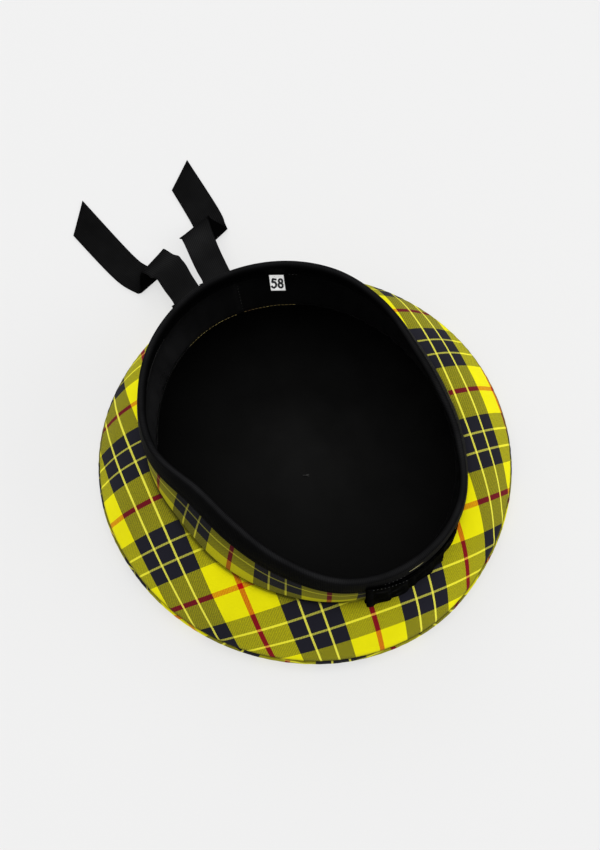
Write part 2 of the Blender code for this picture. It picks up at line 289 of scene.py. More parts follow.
def softNoise(point, size, seed):
    return noise.noise(Vector((point.x / size + seed, point.y / size - seed, point.z / size)))


def noiseAlong(length, size, seed):
    return noise.noise(Vector((length / size, seed, 0.0)))


def noiseRound(bearing, swings, seed):
    angle = math.radians(bearing)
    return noise.noise(Vector((math.cos(angle) * swings, math.sin(angle) * swings, seed)))


def gathers(turns, strength, skew):
    # uneven small folds: the stronger ones also stand closer or further apart
    return strength * math.sin(2 * math.pi * turns + skew * strength)


def section(bearing):
    # radius and height of the rim and of the band's seam, and the crown edge's radius
    count = len(sectionRows)
    place = (bearing % 360.0) / (360.0 / count)
    index = int(place)
    near = [sectionRows[(index + step) % count] for step in (-1, 0, 1, 2)]
    turn, rim, seam, edge = [catmull(*values, place - index) for values in zip(*near)]
    sag = math.cos(math.radians(2 * (bearing - 90.0)))
    rimZ = bonnet["rimHeight"] - bonnet["bindingCap"] - bonnet["rimSaddle"] * sag
    seamZ = bonnet["seamHeight"] - bonnet["seamSaddle"] * sag
    return Vector((rim + bonnet["bandOutset"], rimZ)), Vector((seam, seamZ)), edge


def inPlan(bearing, radius, height):
    angle = math.radians(bearing)
    return Vector((radius * math.cos(angle), radius * math.sin(angle), height))


def sideNormal(before, after):
    along = (Vector(after) - Vector(before)).normalized()
    return Vector((-along.y, along.x))


def bandPoint(bearing, depth, outset):
    # depth down from the rim, outset outside the band's outer face
    rim, seam, edge = section(bearing)
    down = (seam - rim).normalized()
    part = depth / (seam - rim).length
    swell = bonnet["bandBulge"] * math.sin(math.pi * min(max(part, 0.0), 1.0))
    place = rim + down * depth + sideNormal(rim, seam) * (outset + swell)
    return inPlan(bearing, place.x, place.y)


def bandLength(bearing):
    rim, seam, edge = section(bearing)
    return (seam - rim).length


def undersidePlace(bearing, part):
    rim, seam, edge = section(bearing)
    start = Vector((seam.x + bonnet["gap"], seam.y - 2 * bonnet["gap"]))
    end = Vector((edge - bonnet["edgeLean"], bonnet["edgeHeight"] + bonnet["gap"]))
    normal = sideNormal(start, end)
    middle = (start + end) / 2 + normal * bonnet["undersideBulge"] * 2
    return start.lerp(middle, part).lerp(middle.lerp(end, part), part), normal


def runLengths(points):
    # distances along the points from the first
    lengths = [0.0]
    for before, after in zip(points, points[1:]):
        lengths.append(lengths[-1] + (after - before).length)
    return lengths


def rimLengths(start, depth=0.0):
    # distances along the band from the start bearing
    steps = bonnet["roundSteps"]
    turns = [start + 360.0 * step / steps for step in range(steps + 1)]
    return runLengths([bandPoint(turn, depth, 0.0) for turn in turns])


# Meshes
def threeLists(columns):
    # each column's points, places in the pattern and shades, as three lists
    return [list(part) for part in zip(*columns)]


def aroundHat(columnAt, start=0.0):
    steps = bonnet["roundSteps"]
    return threeLists(columnAt(step, start + 360.0 * step / steps) for step in range(steps + 1))


def gridMesh(name, columns, patterns, shades=None, around=True, centre=None):
    # around drops the last column of points, which stands on the first, and closes the ring
    rows = len(columns[0])
    count = len(columns) - 1
    if around:
        columns = columns[:-1]
    points = [point for column in columns for point in column]
    faces = []
    corners = []
    for index in range(count):
        here = index * rows
        there = ((index + 1) % len(columns)) * rows
        for row in range(rows - 1):
            faces.append((here + row, here + row + 1, there + row + 1, there + row))
            corners.extend((patterns[index][row], patterns[index][row + 1]))
            corners.extend((patterns[index + 1][row + 1], patterns[index + 1][row]))
    if centre is not None:
        place, pattern = centre
        points.append(place)
        for index in range(count):
            here = index * rows + rows - 1
            there = ((index + 1) % len(columns)) * rows + rows - 1
            faces.append((here, len(points) - 1, there))
            corners.extend((patterns[index][-1], pattern, patterns[index + 1][-1]))
    mesh = bpy.data.meshes.new(name)
    mesh.from_pydata(points, [], faces)
    layer = mesh.uv_layers.new(name="pattern")
    layer.data.foreach_set("uv", [value for corner in corners for value in corner])
    if shades is not None:
        values = [value for column in shades[:len(columns)] for value in column]
        if centre is not None:
            values.append(shades[0][-1])
        mesh.attributes.new("shade", "FLOAT", "POINT").data.foreach_set("value", values)
    mesh.update()
    return mesh


def closeMesh(mesh):
    # merges points that stand on each other, fills open ends and turns the faces outwards
    shape = bmesh.new()
    shape.from_mesh(mesh)
    bmesh.ops.remove_doubles(shape, verts=shape.verts, dist=0.00001)
    bmesh.ops.holes_fill(shape, edges=[edge for edge in shape.edges if edge.is_boundary])
    bmesh.ops.recalc_face_normals(shape, faces=shape.faces)
    area = sum(face.calc_area() for face in shape.faces)
    shape.to_mesh(mesh)
    shape.free()
    return area


def link(name, mesh, material):
    mesh.materials.append(material)
    mesh.shade_smooth()
    return addThing(name, mesh)


def meshOf(thing):
    # a plain mesh of what the object's modifiers or its bevelled curve make
    depsgraph = bpy.context.evaluated_depsgraph_get()
    return bpy.data.meshes.new_from_object(
        thing.evaluated_get(depsgraph), preserve_all_data_layers=True, depsgraph=depsgraph)


def baked(thing):
    mesh = meshOf(thing)
    old = thing.data
    thing.modifiers.clear()
    thing.data = mesh
    bpy.data.meshes.remove(old)
    mesh.name = thing.name
    return thing


def giveWall(thing, thickness, offset=-1.0):
    wall = thing.modifiers.new("wall", "SOLIDIFY")
    wall.thickness = thickness
    wall.offset = offset
    return baked(thing)


def wear(thing, slot, *nodes):
    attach(thing, "root")
    if nodes:
        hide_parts(*nodes)
    return thing


def wearCloth(name, lists, material, thickness, slot, node, centre=None):
    thing = link(name, gridMesh(name, *lists, centre=centre), material)
    wear(giveWall(thing, thickness), slot, node)


# The tartan's sett, from one red line to the next, in parts of its repeat.
# Warp and weft mix as the eye sees them, and the gamma turns the mix into the cloth's colour.
tartan = {
    "threads": 152.0,         # in one repeat
    "gamma": 1.8,
    "red": (0.69, 0.026, 0.053),
    "yellow": (0.915, 0.88, 0.02),
    "black": (0.084, 0.083, 0.107),
    "pale": (0.91, 0.885, 0.25),
    "redWidth": 0.043,
    "yellowWidth": 0.24075,
    "blackWidth": 0.1455,
    "paleWidth": 0.0195,
    # how strongly the threads of one way cover the other way's: the plain ones, the pale ones
    "warpCover": (0.1425, 0.7),
    "weftCover": (0.1075, 0.2125),
    "overPart": 0.49,         # of four threads, how many the weft passes over
    "twill": 0.12,            # how far single threads depart from the mixed colour
    "mottle": 0.38,
    "mottleScale": 75.0,
    "fluff": 0.5,             # height of the fluff, against the threads
    "relief": (0.35, 0.00012),
    "drift": (28.0, 0.93, 1.06),
    "roughness": 0.86,
    "gloss": 0.08,
    "sheen": 0.02,
    "sheenRoughness": 0.5,
}


def stripeRamp(group, place, cover, paleCover):
    # the stripes along one repeat, with each thread's cover as the alpha
    ramp = addNode(group, "ShaderNodeValToRGB", Fac=compute(group, "FRACT", place))
    ramp.color_ramp.interpolation = "CONSTANT"
    marks = ramp.color_ramp.elements
    order = ("red", "yellow", "black", "pale", "black", "pale", "black", "yellow")
    while len(marks) < len(order):
        marks.new(1.0)
    stop = 0.0
    for mark, name in zip(marks, order):
        mark.position = stop
        mark.color = (*tartan[name], paleCover if name == "pale" else cover)
        stop += tartan[name + "Width"]
    return ramp.outputs


def sineRidges(group, place):
    turn = compute(group, "MULTIPLY", place, math.pi)
    return compute(group, "ABSOLUTE", compute(group, "SINE", turn))


def makeTartanGroup():
    group, start, end = newGroup(
        "Shader", "tartanWeave", {"Sett": "Vector", "Most": "Float"},
        {"Colour": "Color", "Height": "Float"})
    split = addNode(group, "ShaderNodeSeparateXYZ", Vector=start["Sett"])
    colours = []
    covers = []
    threads = []
    for axis, way in (("X", "warpCover"), ("Y", "weftCover")):
        place = compute(group, "ADD", split.outputs[axis], tartan["redWidth"] / 2)
        ramp = stripeRamp(group, place, *tartan[way])
        colours.append(ramp["Color"])
        covers.append(compute(group, "MINIMUM", ramp["Alpha"], start["Most"]))
        threads.append(compute(group, "MULTIPLY", place, tartan["threads"]))
    share = compute(group, "DIVIDE", covers[1], compute(group, "ADD", *covers))
    # a two-and-two twill: each weft thread passes over two warp threads, one step on each row
    step = compute(group, "ADD", *[compute(group, "FLOOR", thread) for thread in threads])
    turn = compute(group, "FRACT", compute(group, "DIVIDE", step, 4.0))
    over = compute(group, "LESS_THAN", turn, tartan["overPart"])
    swing = compute(group, "MULTIPLY", compute(group, "SUBTRACT", over, 0.5), tartan["twill"])
    fleck = addNode(
        group, "ShaderNodeTexNoise", Vector=start["Sett"], Scale=tartan["mottleScale"], Detail=4.0)
    mottle = compute(group, "SUBTRACT", fleck.outputs["Fac"], 0.5)
    swing = compute(group, "MULTIPLY_ADD", mottle, tartan["mottle"], swing)
    blend = mixed(group, "RGBA", compute(group, "ADD", share, swing), *colours)
    seen = addNode(group, "ShaderNodeGamma", Color=blend, Gamma=tartan["gamma"])
    relief = mixed(group, "FLOAT", over, *[sineRidges(group, thread) for thread in threads])
    setInput(group, end["Colour"], seen.outputs["Color"])
    setInput(group, end["Height"], relief)
    return group


def makeDriftGroup():
    # slow uneven tone of cloth that has been handled, and fine fluff on it
    group, start, end = newGroup(
        "Shader", "clothDrift",
        {"Place": "Vector", "Size": "Float", "Low": "Float", "High": "Float"},
        {"Tone": "Float", "Fluff": "Float"})
    broad = addNode(
        group, "ShaderNodeTexNoise", Vector=start["Place"], Scale=start["Size"], Detail=3.0)
    tone = addNode(
        group, "ShaderNodeMapRange", Value=broad.outputs["Fac"], From_Min=0.3, From_Max=0.7,
        To_Min=start["Low"], To_Max=start["High"])
    fine = addNode(
        group, "ShaderNodeTexNoise", Vector=start["Place"], Scale=1800.0, Detail=1.0)
    setInput(group, end["Tone"], tone.outputs[0])
    setInput(group, end["Fluff"], fine.outputs["Fac"])
    return group


def makeRibGroup():
    # ribs that run along a strip, with a fine thread across them; Place is in metres
    group, start, end = newGroup(
        "Shader", "ribbonRibs", {"Place": "Vector", "Rib": "Float", "Thread": "Float"},
        {"Height": "Float", "Crest": "Float"})
    split = addNode(group, "ShaderNodeSeparateXYZ", Vector=start["Place"])
    crest, cross = [
        sineRidges(group, compute(group, "DIVIDE", split.outputs[axis], start[size]))
        for axis, size in (("X", "Rib"), ("Y", "Thread"))
    ]
    setInput(group, end["Height"], compute(group, "MULTIPLY_ADD", cross, 0.3, crest))
    setInput(group, end["Crest"], crest)
    return group


tartanGroup = makeTartanGroup()
driftGroup = makeDriftGroup()
ribGroup = makeRibGroup()


def patternOf(tree):
    return addNode(tree, "ShaderNodeUVMap", {"uv_map": "pattern"}).outputs[0]


def driftOf(tree, size, low, high):
    # the material's slow tone between low and high, and its fluff
    place = addNode(tree, "ShaderNodeTexCoord").outputs["Object"]
    drift = useGroup(tree, driftGroup, Place=place, Size=size, Low=low, High=high)
    return drift["Tone"], drift["Fluff"]


def ribsOf(tree, rib, thread):
    ribs = useGroup(tree, ribGroup, Place=patternOf(tree), Rib=rib, Thread=thread)
    return ribs["Height"], ribs["Crest"]


def scaled(tree, colour, factor):
    # a colour made lighter or darker by a factor
    return addNode(
        tree, "ShaderNodeVectorMath", {"operation": "SCALE"}, Vector=colour, Scale=factor).outputs[0]


def shaded(tree, tone):
    # the tone, lighter or darker by the mesh's shade attribute, which holds painted light and shade
    shade = addNode(tree, "ShaderNodeAttribute", {"attribute_name": "shade"})
    return compute(tree, "MULTIPLY", tone, shade.outputs["Fac"])


def finishCloth(tree, shader, colour, height, strength, distance):
    bump = addNode(tree, "ShaderNodeBump", Strength=strength, Distance=distance, Height=height)
    setInput(tree, shader["Base Color"], colour)
    setInput(tree, shader["Normal"], bump.outputs[0])


def makeTartan(name, shade, most=1.0):
    # most limits the pale threads' cover, where they lie flatter in the weave
    material, tree, shader = newMaterial(
        name, Roughness=tartan["roughness"], Specular_IOR_Level=tartan["gloss"],
        Sheen_Weight=tartan["sheen"], Sheen_Roughness=tartan["sheenRoughness"])
    weave = useGroup(tree, tartanGroup, Sett=patternOf(tree), Most=most)
    size, low, high = tartan["drift"]
    tone, fluff = driftOf(tree, size, low * shade, high * shade)
    colour = scaled(tree, weave["Colour"], shaded(tree, tone))
    height = compute(tree, "MULTIPLY_ADD", fluff, tartan["fluff"], weave["Height"])
    finishCloth(tree, shader, colour, height, *tartan["relief"])
    return material


def makeRibbed(name, colour, rib, roughness, sheen, gloss, depth=0.00012):
    # black ribbon: lighter and smoother on the crests of its ribs than between them
    material, tree, shader = newMaterial(
        name, Sheen_Weight=sheen, Sheen_Roughness=0.35, Specular_IOR_Level=gloss)
    ribs, crest = ribsOf(tree, rib, thread=0.00045)
    tone, fluff = driftOf(tree, size=55.0, low=0.75, high=1.3)
    tone = compute(tree, "MULTIPLY", compute(tree, "ADD", crest, 0.36), tone)
    rough = addNode(
        tree, "ShaderNodeMapRange", Value=crest, To_Min=roughness + 0.15, To_Max=roughness)
    setInput(tree, shader["Roughness"], rough.outputs[0])
    height = compute(tree, "MULTIPLY_ADD", fluff, 0.3, ribs)
    colour = scaled(tree, colour, shaded(tree, tone))
    finishCloth(tree, shader, colour, height, strength=0.5, distance=depth)
    return material


def makeSatin(name, colour, roughness, sheen, gloss):
    material, tree, shader = newMaterial(
        name, Sheen_Weight=sheen, Sheen_Roughness=0.3, Specular_IOR_Level=gloss)
    weave, crest = ribsOf(tree, rib=0.00055, thread=0.0009)
    tone, fluff = driftOf(tree, size=40.0, low=0.8, high=1.25)
    setInput(tree, shader["Roughness"], compute(tree, "MULTIPLY", tone, roughness))
    colour = scaled(tree, colour, shaded(tree, tone))
    finishCloth(tree, shader, colour, weave, strength=0.25, distance=0.00006)
    return material


def makeThread(name, colour, other, gloss=0.3, sheen=0.2):
    # twisted thread, its colour running from one tone to another along the run
    material, tree, shader = newMaterial(
        name, Roughness=0.6, Sheen_Weight=sheen, Specular_IOR_Level=gloss)
    tone, fluff = driftOf(tree, size=160.0, low=0.0, high=1.0)
    colour = mixed(tree, "RGBA", tone, colour, other)
    finishCloth(tree, shader, colour, fluff, strength=0.4, distance=0.00005)
    return material


def makeTape(name, colour):
    # woven tape with a fine even weave and faint handling marks
    material, tree, shader = newMaterial(name, Roughness=0.75, Sheen_Weight=0.1)
    weave, crest = ribsOf(tree, rib=0.0003, thread=0.0003)
    tone, fluff = driftOf(tree, size=220.0, low=0.96, high=1.0)
    tone = compute(tree, "MULTIPLY", compute(tree, "MULTIPLY_ADD", crest, 0.05, 0.95), tone)
    colour = scaled(tree, colour, tone)
    finishCloth(tree, shader, colour, weave, strength=0.3, distance=0.00005)
    return material


# copies of one tartan: the band's, at half the brightness, is painted shade; the top panel's is a little
# darker
undersideTartan = makeTartan("undersideTartan", 1.0)
bandTartan = makeTartan("bandTartan", 0.5, most=0.2)
topTartan = makeTartan("topTartan", 0.95)
bindingRibbon = makeRibbed(
    "bindingRibbon", (0.0085, 0.0085, 0.0090), rib=0.0010, roughness=0.50, sheen=0.002, gloss=0.010)
tailRibbon = makeRibbed(
    "tailRibbon", (0.0062, 0.0062, 0.0064), rib=0.0012, roughness=0.50, sheen=0.003, gloss=0.012,
    depth=0.0002)
cockadeRibbon = makeRibbed(
    "cockadeRibbon", (0.0018, 0.0018, 0.0019), rib=0.0010, roughness=0.60, sheen=0.0, gloss=0.003)
bandSatin = makeSatin(
    "bandSatin", (0.0028, 0.0028, 0.0029), roughness=0.34, sheen=0.006, gloss=0.06)
crownSatin = makeSatin(
    "crownSatin", (0.0058, 0.0058, 0.0057), roughness=0.50, sheen=0.004, gloss=0.02)
labelTape = makeTape("labelTape", (0.98, 0.98, 0.97))
paleThread = makeThread("paleThread", (0.34, 0.34, 0.32), (0.20, 0.20, 0.19))
greyThread = makeThread("greyThread", (0.075, 0.075, 0.072), (0.018, 0.018, 0.018), 0.1, 0.02)
darkThread = makeThread("darkThread", (0.0030, 0.0030, 0.0032), (0.0015, 0.0015, 0.0016), 0.02, 0.0)
tackingThread = makeThread("tackingThread", (0.60, 0.56, 0.26), (0.12, 0.11, 0.05), 0.2, 0.05)
seamThread = makeThread("seamThread", (0.42, 0.34, 0.10), (0.12, 0.06, 0.02))
labelInk = makeThread("labelInk", (0.010, 0.010, 0.012), (0.016, 0.016, 0.018), 0.1, 0.02)
yarn = makeThread("toorieYarn", (0.009, 0.009, 0.010), (0.020, 0.020, 0.022), 0.1, 0.05)
print("materials: done")

# Underside of the crown: one flat cut of tartan, eased round and down from the band
underside = {
    "rows": 30,
    "wall": 0.7,              # of the cloth's thickness
    "columnRepeat": 0.0670,
    "rowRepeat": 0.0657,
    "turn": -14.9,            # of the cloth's rows, in degrees
    "columnStart": 0.999,
    "rowStart": 0.926,
    "spread": 0.965,          # cloth drawn in this much towards the crown's edge
    # how far the sewing has pulled the cloth, at 100 mm from the middle
    "pullReach": 0.1,
    "rowBow": -0.0038,
    "columnBow": 0.0020,
    "columnSlant": -0.0031,
    "rowSlant": 0.0019,
    "wave": 0.0005,
    "waveSize": 0.035,
    # a groove beside the band: depth, reach; a roll beside the edge seam: height, place, reach
    "groove": (0.0005, 0.0012),
    "roll": (0.0004, 0.0025, 0.0018),
    # painted shade in the seams: how much darker, and how far: beside the band and beside the edge seam
    "bandShade": (0.55, 0.0010),
    "edgeShade": (0.45, 0.0005),
    # cloth turned in at a seam: how far below the surface, outwards, up and along the cloth
    "bandTuck": ((0.0012, -0.0012, 0.0004, -0.0020), (0.0004, 0.0, 0.0, -0.0006)),
    "edgeTuck": ((0.0002, -0.0003, -0.0007, 0.0007), (0.0, -0.0016, -0.0009, 0.0021)),
    # painted shade on the turned-in cloth
    "tuckShade": 0.3,
}
# small gathers that the crown's edge seam leaves in the cloth beside it
edgeGathers = {
    "height": 0.00022,
    "size": 0.0045,
    "reach": 0.004,
    "strength": (0.6, 0.8, 0.02),     # least, how uneven, and over what length
}


def edgePucker(bearing, edge, distance):
    along = math.radians(bearing) * edge
    least, uneven, length = edgeGathers["strength"]
    strength = least + uneven * noiseAlong(along, length, 4.0)
    height = edgeGathers["height"] * fading(distance, edgeGathers["reach"])
    return height * gathers(along / edgeGathers["size"], strength, 3)


def undersidePattern(bearing, reach):
    place = inPlan(bearing, reach, 0.0)
    across = place.x / underside["pullReach"]
    along = place.y / underside["pullReach"]
    x = place.x + underside["columnBow"] * along ** 2 + underside["columnSlant"] * across * along
    y = place.y + underside["rowBow"] * across ** 2 + underside["rowSlant"] * across * along
    turn = math.radians(underside["turn"])
    column = (x * math.cos(turn) + y * math.sin(turn)) / underside["columnRepeat"]
    row = (x * math.sin(turn) - y * math.cos(turn)) / underside["rowRepeat"]
    return column + underside["columnStart"], row + underside["rowStart"]


def tuckPlaces(base, normal, rows):
    return [base - normal * below + Vector((outwards, up)) for below, outwards, up, along in rows]


def undersideColumn(step, bearing):
    rim, seam, edge = section(bearing)
    first, normal = undersidePlace(bearing, 0.0)
    last, normal = undersidePlace(bearing, 1.0)
    grooveDepth, grooveReach = underside["groove"]
    rollHeight, rollPlace, rollReach = underside["roll"]
    places = tuckPlaces(first, normal, underside["bandTuck"])
    reaches = [seam.x + row[-1] for row in underside["bandTuck"]]
    shade = [underside["tuckShade"]] * 2
    travelled = 0.0
    before = first
    for row in range(underside["rows"] + 1):
        part = row / underside["rows"]
        place, normal = undersidePlace(bearing, part)
        travelled += (place - before).length
        before = place
        distance = (last - place).length
        point = inPlan(bearing, place.x, place.y)
        lift = underside["wave"] * softNoise(point, underside["waveSize"], 2.0)
        lift *= math.sin(math.pi * part)
        lift += edgePucker(bearing, edge, distance)
        lift -= grooveDepth * fading(travelled, grooveReach)
        lift += rollHeight * hump(distance - rollPlace, rollReach)
        places.append(place + normal * lift)
        reaches.append(seam.x + travelled * underside["spread"])
        tone = 1.0
        for away, (darker, reach) in (
                (travelled, underside["bandShade"]), (distance, underside["edgeShade"])):
            tone -= darker * fading(away, reach)
        shade.append(tone)
    places += tuckPlaces(last, normal, underside["edgeTuck"])
    reaches += [reaches[-1] + row[-1] for row in underside["edgeTuck"]]
    points = [inPlan(bearing, place.x, place.y) for place in places]
    pattern = [undersidePattern(bearing, reach) for reach in reaches]
    return points, pattern, shade + [underside["tuckShade"]] * 2


wearCloth(
    "crownUnderside", aroundHat(undersideColumn), undersideTartan,
    bonnet["cloth"] * underside["wall"], "crown_tartan", "crown_underside")
print("crown underside: done")

# Top panel, lying on the floor and pushed up in the middle by the toorie
topPanel = {
    "steps": 7,
    "wall": 0.7,
    "repeat": 0.0662,
    "turn": 31.0,
    "start": (0.35, 0.60),
    # cloth turned in at the edge seam: outwards, up and painted shade
    "tuck": ((-0.0015, 0.0, 0.3), (-0.0004, 0.0002, 0.35)),
    "edgeShade": (0.5, 2.0),          # painted shade: how much darker at the seam, and over how many rows
}


def topPattern(point, reach):
    # a flat cut of cloth, by the distance along it from its centre
    angle = math.atan2(point.y, point.x) + math.radians(topPanel["turn"])
    column = reach * math.cos(angle) / topPanel["repeat"] + topPanel["start"][0]
    row = reach * math.sin(angle) / topPanel["repeat"] + topPanel["start"][1]
    return column, row


def panelRows(edge, first):
    # the panel's outline from one of its rows in to the dimple's top
    outline = [Vector((edge - inset, height)) for inset, height in topRows[first:]]
    outline.append(Vector((bonnet["flatRadius"], 0.0)))
    outline.extend(Vector(row) for row in dimpleRows)
    return outline


def topColumn(step, bearing):
    rim, seam, edge = section(bearing)
    outline = smoothProfile(panelRows(edge, 0), topPanel["steps"])
    places = [outline[0] + Vector(row[:2]) for row in topPanel["tuck"]] + outline
    points = []
    for place in places:
        distance = max(edge - place.x, 0.0) + abs(place.y - topRows[0][1])
        pucker = edgePucker(bearing, edge, distance)
        points.append(inPlan(bearing, place.x + pucker, max(place.y, 0.0)))
    reaches = runLengths(points[::-1])[::-1]
    pattern = [topPattern(point, reach + places[-1].x) for point, reach in zip(points, reaches)]
    darker, rows = topPanel["edgeShade"]
    shade = [row[2] for row in topPanel["tuck"]]
    shade += [1 - darker * fading(row, rows) for row in range(len(outline))]
    return points, pattern, shade


wearCloth(
    "crownTop", aroundHat(topColumn), topTartan, bonnet["cloth"] * topPanel["wall"],
    "crown_tartan", "crown_top",
    centre=(Vector((0.0, 0.0, bonnet["dimpleTop"])), topPanel["start"]))
print("crown top: done")

# Headband, a straight strip of tartan joined at the back
headband = {
    "rows": 22,
    "wall": 0.8,
    "repeat": 0.061,
    "redBearing": 204.7,      # a red line crosses the band here
    "redDepth": 0.046,        # and one would run along it this far down
    "patternDepth": 0.020,    # where the strip's length is measured
    "joinBearing": 90.0,
    "wave": 0.0004,
    "waveSize": 0.03,
    "tuck": (0.0010, 0.0010),         # drawn in beside the seam: depth, reach
    # painted shade, darkest under the binding: shade at the rim, how much lighter further down, where
    # that starts, over what part
    "fall": (0.6, 0.4, 0.33, 0.4),
    # painted shade beside the seam with the underside: how much darker, and how far
    "seamShade": (0.3, 0.0012),
}
headbandLengths = rimLengths(headband["joinBearing"], headband["patternDepth"])
redStep = (headband["redBearing"] - headband["joinBearing"]) / 360.0 * bonnet["roundSteps"]
redBefore, redAfter = headbandLengths[int(redStep):int(redStep) + 2]
redLength = redBefore + (redAfter - redBefore) * (redStep % 1)


def headbandColumn(step, bearing):
    length = bandLength(bearing)
    tuckDepth, tuckReach = headband["tuck"]
    least, lighter, start, over = headband["fall"]
    darker, shadeReach = headband["seamShade"]
    points = []
    pattern = []
    shade = []
    for row in range(headband["rows"] + 1):
        part = row / headband["rows"]
        depth = length * part
        lift = headband["wave"] * math.sin(math.pi * part)
        lift *= softNoise(bandPoint(bearing, depth, 0.0), headband["waveSize"], 7.0)
        lift -= tuckDepth * fading(length - depth, tuckReach)
        points.append(bandPoint(bearing, depth, lift))
        pattern.append((
            (headbandLengths[step] - redLength) / headband["repeat"],
            (depth - headband["redDepth"]) / headband["repeat"],
        ))
        tone = least + lighter * smooth((part - start) / over)
        shade.append(tone - darker * fading(length - depth, shadeReach))
    return points, pattern, shade


wearCloth(
    "headbandCloth", aroundHat(headbandColumn, headband["joinBearing"]), bandTartan,
    bonnet["cloth"] * headband["wall"], "band_tartan", "headband")
print("headband: done")

# Binding, a ribbon folded over the band's edge and stitched through both legs
binding = {
    "capSteps": 12,
    "legSteps": 6,
    "cap": 0.0019,
    "face": -0.0024,          # the inner leg, from the band's outer face
    "inner": -0.0033,
    "innerDepth": 0.0095,
    "crease": (0.00035, 0.0008),      # the ribbon is pinched in by the stitch line: depth, reach
    "stitchRise": 0.0016,
    "waver": (0.0004, 3, 1.5),        # of both feet: height, swings round the hat, seed
    "waverTurn": 40.0,        # the inner foot wavers this much further round
    "plump": 0.0003,
    # painted shade: the legs are darker than the fold
    "legShade": 0.14,
    "innerShade": 0.7,        # of the leg's painted shade
    "highlightBearing": 234.0,   # where the painted highlight on the fold is strongest
    # the painted highlight along the fold: its place over the fold, reach and shade, and what the highlit
    # side adds to both
    "foldPlace": 1.35,
    "foldReach": (0.65, 0.2),
    "foldShade": (0.75, 0.2),
}
bindingLengths = rimLengths(headband["joinBearing"])


def bindingWaver(bearing):
    height, swings, seed = binding["waver"]
    return height * noiseRound(bearing, swings, seed)


def outerFoot(bearing):
    return bonnet["bindingDepth"] + bindingWaver(bearing)


def innerFoot(bearing):
    return binding["innerDepth"] + bindingWaver(bearing + binding["waverTurn"])


def foldShade(bearing, angle):
    # painted highlight along the fold over the legs' painted shade; angle over the fold from its outer
    # shoulder to its inner one
    highlit = (1 + math.cos(math.radians(bearing - binding["highlightBearing"]))) / 2
    reach, shade = [plain + more * highlit for plain, more in (binding["foldReach"], binding["foldShade"])]
    return binding["legShade"] + shade * hump(angle - binding["foldPlace"], reach)


def bindingOutline(bearing):
    # outset, depth and shade, from the outer leg's foot over the fold and down inside, then back
    outer = bonnet["gap"] + bonnet["ribbon"]
    inner = binding["inner"]
    middle = (outer + inner) / 2
    half = (outer - inner) / 2
    leg = binding["legShade"]
    crease, creaseReach = binding["crease"]
    outline = []
    foot = outerFoot(bearing)
    seam = foot - binding["stitchRise"]
    for step in range(binding["legSteps"]):
        depth = foot * (1 - step / binding["legSteps"])
        pinch = crease * hump(depth - seam, creaseReach)
        plump = binding["plump"] * math.sin(math.pi * min(depth / seam, 1.0))
        outline.append((outer - pinch + plump, depth, leg))
    for step in range(binding["capSteps"] + 1):
        angle = math.pi * step / binding["capSteps"]
        place = (middle + half * math.cos(angle), -binding["cap"] * math.sin(angle))
        outline.append((*place, foldShade(bearing, angle)))
    innerEnd = innerFoot(bearing)
    seam = innerEnd - binding["stitchRise"]
    for step in range(1, binding["legSteps"] + 1):
        depth = innerEnd * step / binding["legSteps"]
        pinch = crease * hump(depth - seam, creaseReach)
        outline.append((inner + pinch, depth, leg * binding["innerShade"]))
    face = binding["face"]
    gap = bonnet["gap"]
    outline.extend(((face, innerEnd, leg), (face, 0.0, leg), (gap, 0.0, leg), (gap, foot, leg)))
    return outline


def bindingColumn(step, bearing):
    # the last point repeats the first, so that the pattern can end there
    outline = bindingOutline(bearing)
    outline.append(outline[0])
    points = [bandPoint(bearing, depth, outset) for outset, depth, shade in outline]
    reaches = runLengths([Vector(row[:2]) for row in outline])
    return points, [(bindingLengths[step], reach) for reach in reaches], [row[2] for row in outline]


def makeBinding():
    mesh = gridMesh("rimBinding", *aroundHat(bindingColumn, headband["joinBearing"]))
    closeMesh(mesh)
    wear(link("rimBinding", mesh, bindingRibbon), "binding_ribbon", "rim_binding")


makeBinding()
print("rim binding: done")

# Linings: a straight satin band, and a bag gathered to it
liningBand = {
    "rows": 20,
    "wall": 0.6,              # of the satin's thickness
    "top": 0.003,
    "slackStart": 0.38,       # above this part of its height it lies on the band
    "pucker": 0.00035,
    "puckerSize": 0.011,
    "puckerStrength": (0.5, 0.8, 0.03),
    # painted shade in the puckers' folds
    "puckerShade": 0.35,
    "seamBearing": 77.4,
    "seamRidge": (0.0007, 0.0010),    # height and reach of the ridge at the join
    # painted sheen where the satin catches the light on one side: lowest shade, how much more, bearing
    # and reach of it
    "gleam": (1.0, 3.5, 127.0, 30.0),
    "gleamPart": 0.8,         # it grows down to this part of the band's height
    "joinGleam": (1.3, 0.0028, 0.0009),   # painted highlight on the seam allowance beside the join: more, place, reach
    "tuck": (0.0002, 0.0012, 0.001),      # turned out at its foot: down, outwards, along the satin
}
liningCrown = {
    "ease": (0.0032, 0.0010, 0.0, 0.0006, 0.0016, 0.0010, 0.0002),
    "underParts": (0.0, 0.25, 0.5, 0.75),
    "topFirst": 2,            # the first of the top panel's rows that the bag follows
    "steps": 6,
    "wall": 0.6,
    "gather": 0.0007,
    "gatherSize": 0.0075,
    "gatherReach": 0.012,
    "gatherRise": 0.5,
    "gatherStrength": (0.5, 0.9, 6),
    "wave": 0.0010,
    "waveSize": 0.045,
    "waveStrength": (0.5, 0.9, 0.25),     # all over, of the broad waves and of the small ones
    "waveStart": 0.03,
    # the hill where the bag lies loosely over the toorie: foot, height and reach
    "hill": (0.0026, 0.0135, 0.036),
    # and a painted pool of light where the light falls on it: middle, reach, shade in the middle and at
    # the edge
    "gleam": ((0.001, -0.002), 0.100, 1.12, 0.40),
}
liningLengths = rimLengths(liningBand["seamBearing"], headband["patternDepth"])


def liningOutset(part):
    start = liningBand["slackStart"]
    slack = bonnet["liningSlack"] * smooth((part - start) / (1.0 - start))
    return -(bonnet["cloth"] + bonnet["gap"] + slack)


